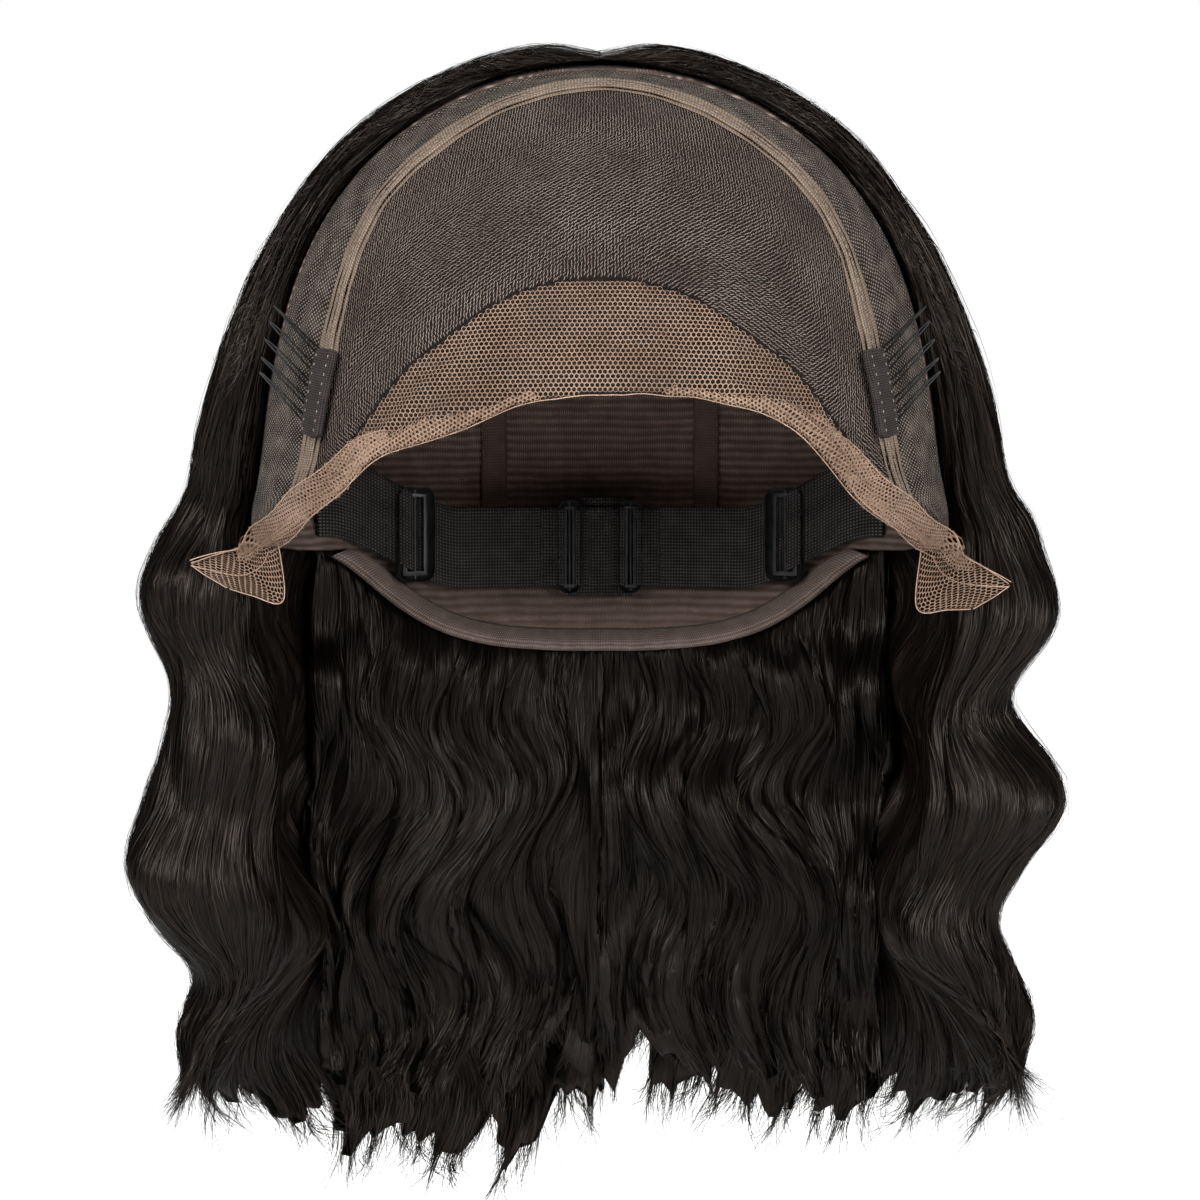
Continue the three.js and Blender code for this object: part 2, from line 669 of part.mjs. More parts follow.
function buildCombs() {
  for (const [side, word] of [[-1, 'left'], [1, 'right']]) {
    addPiece(`comb_cover_${word}`, coverGeometry(side), coverGrey, 0.9);
    addPiece(`comb_wire_${word}`, combWire(side), wireBlack, 0.4, 0.6);
  }
}

// Hair. Every column runs from the centre part over the cap and down to its tips.
const formCentre = new THREE.Vector3(0, 0, earLevel);

function outlineRadius(round) {
  const [x, y] = [Math.cos(round), Math.sin(round)];
  const depth = y < 0 ? frontDepth : backDepth;
  return 1 / Math.hypot(x / capHalfWidth, y / depth);
}

function lockShare(round, locks) {
  return Math.sin(Math.PI * ((round * locks) % 1));
}

const roofRows = [0, 8, 24, 42, 60, 76, 90];
const fallRows = 12;
const innerRoom = backWall + pieceGap + 3 * facetRoom;

function roofPoint(side, round, row, outer, word) {
  const angle = roofRows[row] * degrees;
  const rimTurn = roofRows[row];
  const rimPoint = capPoint(rimTurn, faceLine('rim', rimTurn) + rimRoom, 0).sub(formCentre);
  const frontRoot = -frontDepth * Math.cos((faceLine('rim', 0) + rimRoom) * degrees);
  const rootDepth = THREE.MathUtils.lerp(frontRoot, partBack, round);
  const root = new THREE.Vector3(0, rootDepth, 0).sub(formCentre);
  const turn = THREE.MathUtils.lerp(-waves[0].forward, 90, round) * degrees;
  const level = new THREE.Vector3(Math.cos(turn), Math.sin(turn), 0);
  level.multiplyScalar(outlineRadius(turn));
  const fan = root.multiplyScalar(Math.cos(angle)).addScaledVector(level, Math.sin(angle));
  const direction = fan.normalize().lerp(rimPoint.normalize(), (1 - round) ** 3).normalize();
  direction.x *= side;
  const p = leaveForm(formCentre, direction);
  const share = roofRows[row] / 90;
  const dip = row === 0 ? partDip : 0;
  const swell = waves[0][word] * hairSwell - hairRoof;
  const ridge = lockHeight * share * (lockShare(round, locksPerSide) - 0.6);
  const stand = outer ? hairRoof - dip + swell * share ** 2.5 + ridge : innerRoom;
  p.addScaledVector(direction, stand);
  p.x += side * pieceGap;
  return p;
}

// How far the inner face of the hanging hair stands outside the cap's outline.
function innerStand(turn, fall) {
  const side = between(waves, 'fall', 'side', fall);
  const back = between(waves, 'fall', 'back', fall);
  return THREE.MathUtils.lerp(side, back, THREE.MathUtils.smoothstep(turn / degrees, 5, 35))
    * hairSwell;
}

function hangPoint(side, round, row, outer, word) {
  const notch = tipNotch * (1 - lockShare(round, locksPerSide));
  const end = between(tips, 'round', word, round) - notch;
  const share = row / fallRows;
  const fall = share * end;
  const forward = between(waves, 'fall', 'forward', fall);
  const turn = THREE.MathUtils.lerp(-forward, 90, round) * degrees;
  const lag = backLag * Math.sin(turn) * Math.min(1, fall / backLag);
  const shifted = Math.min(1, fall + lag);
  const ridge = lockHeight * (lockShare(round, locksPerSide) - 0.6);
  const stand = between(waves, 'fall', word, shifted) * hairSwell + ridge;
  const inner = innerStand(turn, fall);
  const taper = THREE.MathUtils.smoothstep(share, 0.72, 1);
  const middle = THREE.MathUtils.lerp(inner, stand, 0.8);
  const thin = outer ? middle + tipWall / 2 : middle - tipWall / 2;
  const offset = THREE.MathUtils.lerp(outer ? stand : inner, thin, taper);
  const swing = sway * Math.sin(fall * swayTurns + 1) * Math.min(1, fall * 5)
    * Math.sin(Math.PI * round);
  const radius = outlineRadius(turn) + offset;
  const swayed = turn + swing / radius;
  return new THREE.Vector3(
    side * (Math.cos(swayed) * radius + pieceGap),
    Math.sin(swayed) * radius,
    earLevel - fall * hairFall,
  );
}

function buildHair() {
  const columns = 4 * locksPerSide;
  const roof = roofRows.length - 1;
  for (const [side, word] of [[-1, 'left'], [1, 'right']]) {
    const at = (u, v, face) => {
      const round = u / columns;
      if (v < roof) return roofPoint(side, round, v, face, word);
      return hangPoint(side, round, v - roof, face, word);
    };
    addPiece(`hair_${word}`, wall(columns, roof + fallRows, at), hairBlack, 0.45);
  }
}

// A second layer of hair hangs inside the first, from the outside of the back wall at the nape.
const napeRows = [0, 0.06, 0.12, 0.18, 0.25, 0.36, 0.5, 0.66, 0.83, 1];

function necklineLevel(turn) {
  let level = earLevel;
  let nearest = Infinity;
  for (let angle = neckTurns[0]; angle <= 180; angle += 1) {
    const p = capPoint(angle, neckEdge(angle), 0);
    const miss = Math.abs(Math.atan2(p.y, p.x) - turn);
    if (miss < nearest) {
      nearest = miss;
      level = p.z;
    }
  }
  return level;
}

function napePoint(side, round, share, outer) {
  const turn = THREE.MathUtils.lerp(napeStart, 90, round) * degrees;
  const end = (napeFall - tipNotch * (1 - lockShare(round, napeLocks))) * hairFall;
  const drop = THREE.MathUtils.lerp(napeTop, end, share);
  const z = earLevel - drop;
  const level = new THREE.Vector3(Math.cos(turn), Math.sin(turn), 0);
  const rim = necklineLevel(turn);
  const from = new THREE.Vector3(0, 0, Math.max(z, rim));
  const wallRadius = leaveForm(from, level).dot(level);
  const below = Math.max(0, rim - z);
  const grown = Math.min(1, below / napeEase);
  const wave = napeWave * Math.sin(below / napeWaveLength) * grown;
  const ridge = lockHeight * lockShare(round, napeLocks) * grown;
  const room = share > 0 ? 2 * backWall + 2 * facetRoom : backWall + facetRoom;
  const near = wallRadius + pieceGap + room + wave - ridge;
  const far = outlineRadius(turn) + innerStand(turn, drop / hairFall) - layerRoom;
  const taper = THREE.MathUtils.smoothstep(share, 0.6, 1);
  const middle = THREE.MathUtils.lerp(near, far, 0.6);
  const thin = middle + (outer ? tipWall / 2 : -tipWall / 2);
  const radius = THREE.MathUtils.lerp(outer ? far : near, thin, taper);
  return level.multiplyScalar(radius).setZ(z).setX(side * (level.x + pieceGap));
}

function buildNapeHair() {
  const columns = 4 * napeLocks;
  const rows = napeRows.length - 1;
  for (const [side, word] of [[-1, 'left'], [1, 'right']]) {
    const at = (u, v, face) => napePoint(side, u / columns, napeRows[v], face);
    addPiece(`hair_nape_${word}`, wall(columns, rows, at), hairBlack, 0.45);
  }
}

buildFrontPanel();
buildBand();
buildFrontSeam();
buildLaceEdge();
buildBackWall();
buildHem();
buildTapes();
buildStrap();
buildCombs();
buildHair();
buildNapeHair();

export default wig;
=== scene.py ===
# Lace front wig: its looks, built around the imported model. Sizes are in millimetres and the
# meshes in metres, +Z up, the face side towards -Y.
import json
import math

import bpy
import numpy as np
from mathutils import Matrix, Vector

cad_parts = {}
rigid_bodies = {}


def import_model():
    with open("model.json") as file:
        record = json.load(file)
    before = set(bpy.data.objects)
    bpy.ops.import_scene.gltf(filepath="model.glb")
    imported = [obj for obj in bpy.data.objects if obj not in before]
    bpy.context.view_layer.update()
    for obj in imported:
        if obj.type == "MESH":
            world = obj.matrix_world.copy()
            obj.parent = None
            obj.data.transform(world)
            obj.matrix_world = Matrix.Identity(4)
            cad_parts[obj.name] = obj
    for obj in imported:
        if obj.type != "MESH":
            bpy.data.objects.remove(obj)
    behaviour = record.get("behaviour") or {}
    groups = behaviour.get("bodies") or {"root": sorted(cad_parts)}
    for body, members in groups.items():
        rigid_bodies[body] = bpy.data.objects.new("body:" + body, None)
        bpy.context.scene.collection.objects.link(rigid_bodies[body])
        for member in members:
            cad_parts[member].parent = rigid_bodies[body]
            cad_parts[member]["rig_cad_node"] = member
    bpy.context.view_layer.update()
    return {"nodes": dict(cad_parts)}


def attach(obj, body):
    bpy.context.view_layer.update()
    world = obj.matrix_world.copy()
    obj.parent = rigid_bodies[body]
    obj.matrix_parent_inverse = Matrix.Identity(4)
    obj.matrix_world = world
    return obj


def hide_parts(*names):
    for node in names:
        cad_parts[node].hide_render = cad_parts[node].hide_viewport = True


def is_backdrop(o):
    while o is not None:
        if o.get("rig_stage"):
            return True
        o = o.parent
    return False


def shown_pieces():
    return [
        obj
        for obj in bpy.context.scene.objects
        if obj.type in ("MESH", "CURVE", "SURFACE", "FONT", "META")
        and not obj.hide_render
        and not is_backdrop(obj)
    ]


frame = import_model()
print("frame loaded:", len(frame["nodes"]), "nodes")

millimetre = 0.001

# The form that the cap lies on, and the cap's own lines

form = {"halfWidth": 97.5, "crownRise": 120, "napeDrop": 72, "frontDepth": 95, "backDepth": 92,
        "roundness": 2.2, "earFlare": 5, "farthest": 424.0}
walls = {"panel": 1.2, "lace": 1, "band": 1.2, "back": 1.5, "hem": 2.3, "gap": 0.3, "facet": 0.75}
earLevel = -form["crownRise"]
panelEnd, tabEnd = 92.5, 101

# Turn is 0 at the top of the face and 90 over the ears. The others run back from the face, 90 at
# the widest ring.
faceLines = {
    "turn": [0, 12, 24, 36, 46, 56, 66, 75, 83, 89, 92.5, 96, 98.5, 101],
    "freeLeft": [12, 12.2, 12.9, 14.6, 16.6, 19, 22.6, 28.8, 38.6, 44, 48, 54, 60, 68],
    "freeRight": [12, 12.3, 13.6, 15.5, 18.6, 22.4, 28.4, 34, 38.4, 42.2, 45, 50, 56.5, 65],
    "hairline": [28, 28.1, 28.8, 30, 31.8, 35, 38.4, 42, 47, 52.6, 57.6, 67, 75, 82],
    "seam": [68, 65.5, 62.5, 61, 58, 54.8, 53.4, 53.6, 54.4, 56.4, 58.2, 67, 75, 82],
    "rim": [77, 76, 76.5, 79.5, 81.5, 79, 76, 75.5, 78, 80.5, 82, 84, 85.5, 87],
}
neckline = {
    "turn": [101, 103, 106, 110, 115, 122, 133, 146, 160, 180],
    "edge": [87, 104, 118, 122, 124.2, 125.6, 127, 129.2, 131.4, 132.4],
}


def mix(a, b, share):
    return a + (b - a) * share


def unit(v):
    return v / np.maximum(np.linalg.norm(v, axis=-1, keepdims=True), 1e-9)


def ease(x, low, high):
    share = np.clip((x - low) / (high - low), 0, 1)
    return share * share * (3 - 2 * share)


def through(table, key, column, at):
    x, y = np.array(table[key], float), np.array(table[column], float)
    run, rise = np.diff(x), np.diff(y)
    secant = rise / run
    slope = np.zeros(len(x))
    same = secant[:-1] * secant[1:] > 0
    both = np.where(same, secant[:-1] + secant[1:], 1)
    slope[1:-1] = np.where(same, 2 * secant[:-1] * secant[1:] / both, 0)
    at = np.asarray(at, float)
    row = np.clip(np.searchsorted(x, at, side="right") - 1, 0, len(x) - 2)
    s = np.clip((at - x[row]) / run[row], 0, 1)
    return ((2 * s**3 - 3 * s**2 + 1) * y[row] + (s**3 - 2 * s**2 + s) * run[row] * slope[row]
            + (3 * s**2 - 2 * s**3) * y[row + 1] + (s**3 - s**2) * run[row] * slope[row + 1])


def faceLine(column, turn):
    return through(faceLines, "turn", column, np.abs(turn))


def freeLine(turn):
    return np.where(np.asarray(turn) < 0, faceLine("freeLeft", turn), faceLine("freeRight", turn))


def formValue(p):
    rise = p[..., 2] - earLevel
    power = form["roundness"]
    across = np.abs(p[..., 0]) / form["halfWidth"]
    up = np.abs(rise) / np.where(rise > 0, form["crownRise"], form["napeDrop"])
    ring = (across**power + up**power) ** (2 / power)
    return ring + (p[..., 1] / np.where(p[..., 1] < 0, form["frontDepth"], form["backDepth"])) ** 2


def formNormal(p):
    step = 0.01
    slopes = []
    for axis in range(3):
        move = np.zeros(3)
        move[axis] = step
        slopes.append(formValue(p + move) - formValue(p - move))
    normal = np.stack(slopes, -1)
    return normal / np.maximum(np.linalg.norm(normal, axis=-1, keepdims=True), 1e-12)


def leaveForm(start, direction):
    near, far = np.zeros(start.shape[:-1]), np.full(start.shape[:-1], form["farthest"])
    for _ in range(36):
        middle = (near + far) / 2
        inside = formValue(start + direction * middle[..., None]) < 1
        near, far = np.where(inside, middle, near), np.where(inside, far, middle)
    return start + direction * near[..., None]


def ringSize(turn):
    t, power = np.radians(turn), form["roundness"]
    half = np.where(np.cos(t) < 0, form["napeDrop"], form["crownRise"])
    return ((np.abs(np.sin(t)) / form["halfWidth"]) ** power
            + (np.abs(np.cos(t)) / half) ** power) ** (-1 / power)


def capPoint(turn, back, offset=0.0):
    turn, back = np.broadcast_arrays(np.asarray(turn, float), np.asarray(back, float))
    t, b = np.radians(turn), np.radians(back)
    size = ringSize(turn)
    depth = np.where(back < 90, form["frontDepth"], form["backDepth"])
    p = np.stack([size * np.sin(t) * np.sin(b), -depth * np.cos(b),
                  earLevel + size * np.cos(t) * np.sin(b)], -1)
    p = p + formNormal(p) * np.asarray(offset)[..., None]
    tab = np.exp(-(((np.abs(turn) - 100) / 9) ** 2) - ((back - 78) / 20) ** 2)
    p[..., 0] += np.sign(turn) * form["earFlare"] * tab
    return p


random = np.random.default_rng(11)


def noiseField(rows, columns):
    return random.uniform(-1, 1, (rows + 4, columns + 4))


def readField(field, x, y):  # x and y from 0 to 1, cubic between the field's values
    def weights(s):
        return [(-s**3 + 3 * s**2 - 3 * s + 1) / 6, (3 * s**3 - 6 * s**2 + 4) / 6,
                (-3 * s**3 + 3 * s**2 + 3 * s + 1) / 6, s**3 / 6]
    rows, columns = field.shape[0] - 4, field.shape[1] - 4
    px, py = np.clip(x, 0, 1) * columns, np.clip(y, 0, 1) * rows
    ix, iy = np.minimum(px.astype(int), columns - 1), np.minimum(py.astype(int), rows - 1)
    total = 0
    for j, wy in enumerate(weights(py - iy)):
        for i, wx in enumerate(weights(px - ix)):
            total = total + wx * wy * field[iy + j, ix + i]
    return total * 1.8


def colour(code):
    parts = [int(code[i:i + 2], 16) / 255 for i in (1, 3, 5)]
    return [c / 12.92 if c <= 0.04045 else ((c + 0.055) / 1.055) ** 2.4 for c in parts] + [1]


def node(tree, kind, settings=(), links=()):
    made = tree.nodes.new(kind)
    for key, value in dict(settings).items():
        if isinstance(key, str) and hasattr(made, key):
            setattr(made, key, value)
        else:
            made.inputs[key].default_value = value
    for key, source in dict(links).items():
        tree.links.new(source, made.inputs[key])
    return made


def newMaterial(name, roughness, settings=()):
    material = bpy.data.materials.new(name)
    material.use_nodes = True
    tree = material.node_tree
    shader = tree.nodes["Principled BSDF"]
    shader.inputs["Roughness"].default_value = roughness
    for key, value in dict(settings).items():
        shader.inputs[key].default_value = value
    return material, tree, shader


def ramp(tree, source, stops):
    made = node(tree, "ShaderNodeValToRGB", links={"Fac": source})
    elements = made.color_ramp.elements
    elements[0].position, elements[0].color = stops[0][0], colour(stops[0][1])
    elements[1].position, elements[1].color = stops[-1][0], colour(stops[-1][1])
    for place, code in stops[1:-1]:
        elements.new(place).color = colour(code)
    return made.outputs["Color"]


def maths(tree, operation, a, b):
    settings, links = {"operation": operation}, {}
    for slot, value in ((0, a), (1, b)):
        if isinstance(value, (int, float)):
            settings[slot] = value
        else:
            links[slot] = value
    return node(tree, "ShaderNodeMath", settings, links).outputs[0]


def flatCoordinates(tree, scale=(1, 1, 1), turn=0.0):  # UV maps hold millimetres
    uv = node(tree, "ShaderNodeTexCoord").outputs["UV"]
    return node(tree, "ShaderNodeMapping", {"Scale": scale, "Rotation": (0, 0, turn)},
                {"Vector": uv}).outputs[0]


def bump(tree, shader, height, strength, distance):
    made = node(tree, "ShaderNodeBump", {"Strength": strength, "Distance": distance}, {"Height": height})
    tree.links.new(made.outputs[0], shader.inputs["Normal"])


def threadMaterial(name, dark, light, roughness=0.75):
    # Spun thread: soft and matt, with a random tone; a little paler where it stands proud, a painted
    # highlight on the raised fibres
    material, tree, shader = newMaterial(name, roughness, {"Sheen Weight": 0.04, "Specular IOR Level": 0.2})
    where = node(tree, "ShaderNodeTexCoord").outputs["Object"]
    grain = node(tree, "ShaderNodeTexNoise", {"Scale": 900.0, "Detail": 3.0}, {"Vector": where})
    broad = node(tree, "ShaderNodeTexNoise", {"Scale": 45.0, "Detail": 2.0}, {"Vector": where})
    total = maths(tree, "ADD", maths(tree, "MULTIPLY", grain.outputs["Fac"], 0.5),
                  maths(tree, "MULTIPLY", broad.outputs["Fac"], 0.5))
    tree.links.new(ramp(tree, total, [(0.35, dark), (0.65, light)]), shader.inputs["Base Color"])
    bump(tree, shader, grain.outputs["Fac"], 0.4, 0.0002)
    return material


def knitMaterial(name, stops, ribs, turn=0.0, roughness=0.85, strength=0.6, wander=2.0, mottle=0.45,
                 paintedNapeLight=0.0):
    # Knitted or woven cloth: ribs, cross ribs and slubs, matt with a faint sheen. ribs are
    # the spacings in millimetres across and along.
    material, tree, shader = newMaterial(name, roughness, {"Sheen Weight": 0.04, "Specular IOR Level": 0.2})
    flat = flatCoordinates(tree, turn=turn)
    def rib(spacing, direction):
        return node(tree, "ShaderNodeTexWave", {
            "wave_type": "BANDS", "bands_direction": direction, "Scale": math.pi / 10 / spacing,
            "Distortion": wander, "Detail": 2.0, "Detail Scale": 0.6}, {"Vector": flat}).outputs["Fac"]
    woven = maths(tree, "MULTIPLY", rib(ribs[0], "X"), rib(ribs[1], "Y"))
    slub = node(tree, "ShaderNodeTexNoise", {"Scale": 0.16, "Detail": 4.0}, {"Vector": flat}).outputs["Fac"]
    total = maths(tree, "ADD", maths(tree, "MULTIPLY", woven, 0.65), maths(tree, "MULTIPLY", slub, mottle))
    if paintedNapeLight:  # paler towards the nape: painted light that lifts the shaded lower inside of the cap
        low = node(tree, "ShaderNodeSeparateXYZ", links={"Vector": flat}).outputs["Y"]
        near = node(tree, "ShaderNodeMapRange", {"From Min": -150.0, "From Max": -176.0, "To Max": paintedNapeLight},
                    {"Value": low}).outputs[0]
        total = maths(tree, "ADD", total, near)
    tree.links.new(ramp(tree, total, stops), shader.inputs["Base Color"])
    bump(tree, shader, woven, strength, 0.0003)
    return material


def hairMaterial(name, stops, gloss=0.3):
    # Glossy near-black brown hair: warm streaks along the flow, and painted shade that darkens the hair
    # between the strands, where the bump sinks
    material, tree, shader = newMaterial(name, 0.42, {"IOR": 1.55, "Specular IOR Level": gloss,
                                                      "Specular Tint": colour("#E8D8CC")})
    fine = node(tree, "ShaderNodeTexNoise", {"Scale": 1.0, "Detail": 3.0, "Roughness": 0.6},
                {"Vector": flatCoordinates(tree, (1.9, 0.018, 1))}).outputs["Fac"]
    broad = node(tree, "ShaderNodeTexNoise", {"Scale": 1.0, "Detail": 2.0},
                 {"Vector": flatCoordinates(tree, (0.35, 0.012, 1))}).outputs["Fac"]
    total = maths(tree, "ADD", maths(tree, "MULTIPLY", fine, 0.6), maths(tree, "MULTIPLY", broad, 0.4))
    tree.links.new(ramp(tree, total, stops), shader.inputs["Base Color"])
    bump(tree, shader, total, 0.8, 0.001)
    return material


def strandMaterial(name, stops):
    # Single hairs: each strand has its own shade, glossy
    material, tree, shader = newMaterial(name, 0.4, {"IOR": 1.55, "Specular IOR Level": 0.3,
                                                     "Specular Tint": colour("#E8D8CC")})
    uv = node(tree, "ShaderNodeTexCoord").outputs["UV"]
    split = node(tree, "ShaderNodeSeparateXYZ", links={"Vector": uv})
    tree.links.new(ramp(tree, split.outputs["X"], stops), shader.inputs["Base Color"])
    return material


def coatedMaterial(name, dark, light, roughness):
    # Nylon-coated wire: even, smooth, with small rubbed spots
    material, tree, shader = newMaterial(name, roughness, {"IOR": 1.5, "Specular IOR Level": 0.35})
    where = node(tree, "ShaderNodeTexCoord").outputs["Object"]
    rubbed = node(tree, "ShaderNodeTexNoise", {"Scale": 400.0, "Detail": 4.0},
                  {"Vector": where}).outputs["Fac"]
    tree.links.new(ramp(tree, rubbed, [(0.4, dark), (0.75, light)]), shader.inputs["Base Color"])
    rough = node(tree, "ShaderNodeMapRange", {"To Min": roughness - 0.08, "To Max": roughness + 0.15},
                 {"Value": rubbed})
    tree.links.new(rough.outputs[0], shader.inputs["Roughness"])
    bump(tree, shader, rubbed, 0.15, 0.0001)
    return material


finishes = {
    "laceThread": threadMaterial("tan nylon net", "#78604F", "#A98D79"),
    "foldThread": threadMaterial("tan net edge", "#A38470", "#CBAD98"),
    "knotThread": threadMaterial("brown ventilating knots", "#5D4E46", "#96867A"),
    "panelCloth": knitMaterial("dark net over hair", [(0.2, "#0B0908"), (0.8, "#231D1A")], (0.9, 0.9)),
    "bandKnit": knitMaterial("khaki stretch mesh", [(0.3, "#0C0A09"), (0.5, "#3A332D"), (0.78, "#94867A")],
                             (0.95, 0.95), turn=0.7, strength=1.0, wander=3.0, mottle=0.7),
    "seamTape": knitMaterial("tan bias seam", [(0.2, "#65564A"), (0.8, "#AA9684")], (0.8, 0.8)),
    # the weft cap is made paler towards the nape: painted light on its shaded lower inside
    "weftCloth": knitMaterial("dark brown weft cap", [(0.15, "#43362F"), (0.5, "#6B5850"), (0.9, "#A28C80")],
                              (0.6, 2.6), strength=0.9, paintedNapeLight=0.4),
    "hemCloth": knitMaterial("grey brown binding", [(0.2, "#53453E"), (0.8, "#96857C")], (0.9, 0.9)),
    "tapeCloth": knitMaterial("brown seam tape", [(0.2, "#43362F"), (0.8, "#6E5B51")], (0.6, 0.9)),
    "elastic": knitMaterial("black ribbed elastic", [(0.15, "#080707"), (0.45, "#221F1E"), (0.8, "#5C5653")],
                            (0.9, 1.0), roughness=0.7, wander=0.8, strength=1.0),
    "combCloth": knitMaterial("grey comb cloth", [(0.2, "#201B1B"), (0.8, "#4E4644")], (0.8, 0.8)),
    "stitchDark": threadMaterial("brown sewing thread", "#3E342F", "#6A5B53"),
    "stitchBlack": threadMaterial("black sewing thread", "#1A1A1B", "#3C3C3D"),
    "stitchPale": threadMaterial("pale sewing thread", "#776B63", "#A0948B"),
    "coatedWire": coatedMaterial("black coated wire", "#08090A", "#1C1D1E", 0.3),
    "plastic": coatedMaterial("black coated metal", "#0F1011", "#26272A", 0.28),
    "hair": hairMaterial("near-black brown hair", [(0.38, "#000000"), (0.5, "#060403"), (0.64, "#211813")]),
    # darker copies of the hair and strand finishes, for the nape hair: painted shade
    "paintedShadeHair": hairMaterial("inner hair with painted shade", [(0.4, "#000000"), (0.52, "#030202"), (0.68, "#100C09")]),
    "strand": strandMaterial("single brown hairs", [(0.0, "#000000"), (0.5, "#0A0706"), (1.0, "#32261F")]),
    "paintedShadeStrand": strandMaterial("single inner hairs with painted shade",
                                  [(0.0, "#000000"), (0.5, "#050403"), (1.0, "#19120E")]),
    "hairShade": hairMaterial("shadow inside a lock",
                              [(0.4, "#000000"), (0.52, "#010101"), (0.68, "#040302")], 0.02),
}
print("materials made:", len(finishes))


def deselect():
    if bpy.context.object and bpy.context.object.mode != "OBJECT":
        bpy.ops.object.mode_set(mode="OBJECT")
    bpy.ops.object.select_all(action="DESELECT")


def pick(piece):
    deselect()
    piece.select_set(True)
    bpy.context.view_layer.objects.active = piece


def applyModifier(piece, kind, settings):
    pick(piece)
    modifier = piece.modifiers.new(kind.lower(), kind)
    for key, value in settings.items():
        setattr(modifier, key, value)
    bpy.ops.object.modifier_apply(modifier=modifier.name)


def finishPiece(piece, finish, nodes=()):
    piece.data.materials.clear()
    piece.data.materials.append(finishes[finish])
    piece.data.polygons.foreach_set("use_smooth", np.ones(len(piece.data.polygons), bool))
    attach(piece, "root")
    if nodes:
        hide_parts(*nodes)
    return piece


def meshPiece(name, points, faces, flat=None):
    mesh = bpy.data.meshes.new(name)
    mesh.vertices.add(len(points))
    mesh.vertices.foreach_set("co", (np.asarray(points) * millimetre).astype(np.float32).ravel())
    faces = np.asarray(faces, np.int32)
    sides = faces.shape[1]
    mesh.loops.add(faces.size)
    mesh.loops.foreach_set("vertex_index", faces.ravel())
    mesh.polygons.add(len(faces))
    mesh.polygons.foreach_set("loop_start", np.arange(0, faces.size, sides, dtype=np.int32))
    mesh.update(calc_edges=True)
    if flat is not None:
        mesh.uv_layers.new(name="flat").data.foreach_set(
            "uv", np.asarray(flat, np.float32)[faces.ravel()].ravel())
    mesh.validate()
    piece = bpy.data.objects.new(name, mesh)
    bpy.context.scene.collection.objects.link(piece)
    return piece


def joinParts(parts):  # each part is its points, its faces and, for some, its flat places
    points, faces, *flats = zip(*parts)
    before = np.cumsum([0] + [len(p) for p in points[:-1]])
    faces = [f + base for f, base in zip(faces, before)]
    return [np.concatenate(column) for column in (points, faces, *flats)]


def editWhole(piece, job):
    pick(piece)
    bpy.ops.object.mode_set(mode="EDIT")
    bpy.ops.mesh.select_all(action="SELECT")
    job()
    bpy.ops.object.mode_set(mode="OBJECT")


def faceOutward(piece):
    editWhole(piece, lambda: bpy.ops.mesh.normals_make_consistent(inside=False))


def sheetPiece(name, columns, rows, place, flat, thickness, outward, weld=False):
    # A grid primitive whose vertices are laid on the cap, then given its wall towards the inside
    deselect()
    bpy.ops.mesh.primitive_grid_add(x_subdivisions=columns, y_subdivisions=rows, size=2)
    piece = bpy.context.object
    piece.name = piece.data.name = name
    mesh = piece.data
    grid = np.zeros(len(mesh.vertices) * 3, np.float32)
    mesh.vertices.foreach_get("co", grid)
    u, v = (grid.reshape(-1, 3)[:, 0] + 1) / 2, (grid.reshape(-1, 3)[:, 1] + 1) / 2
    points = place(u.astype(float), v.astype(float))
    mesh.vertices.foreach_set("co", (points * millimetre).astype(np.float32).ravel())
    corner = np.zeros(len(mesh.loops), np.int32)
    mesh.loops.foreach_get("vertex_index", corner)
    mesh.uv_layers[0].data.foreach_set("uv", flat(u, v).astype(np.float32)[corner].ravel())
    mesh.update()
    middle = mesh.polygons[len(mesh.polygons) // 2 + columns // 2]
    away = outward(np.array(middle.center) / millimetre)
    if np.dot(np.array(middle.normal), away) < 0:
        mesh.flip_normals()
    if weld:
        editWhole(piece, lambda: bpy.ops.mesh.remove_doubles(threshold=0.05 * millimetre))
    if thickness:
        applyModifier(piece, "SOLIDIFY", {"thickness": thickness * millimetre, "offset": -1.0})
    return piece


def tubePiece(name, paths, radius, sides=4):
    # Round wire or thread on smooth curves
    curve = bpy.data.curves.new(name, "CURVE")
    curve.dimensions = "3D"
    curve.resolution_u = 4
    curve.bevel_depth = radius * millimetre
    curve.bevel_resolution = sides // 2 - 1
    curve.use_fill_caps = True
    for path in paths:
        line = curve.splines.new("NURBS")
        line.points.add(len(path) - 1)
        for point, place in zip(line.points, path):
            point.co = (*(np.asarray(place) * millimetre), 1)
        line.order_u = 4
        line.use_endpoint_u = True
    piece = bpy.data.objects.new(name, curve)
    bpy.context.scene.collection.objects.link(piece)
    pick(piece)
    bpy.ops.object.convert(target="MESH")
    piece = bpy.context.object
    piece.name = piece.data.name = name
    return piece


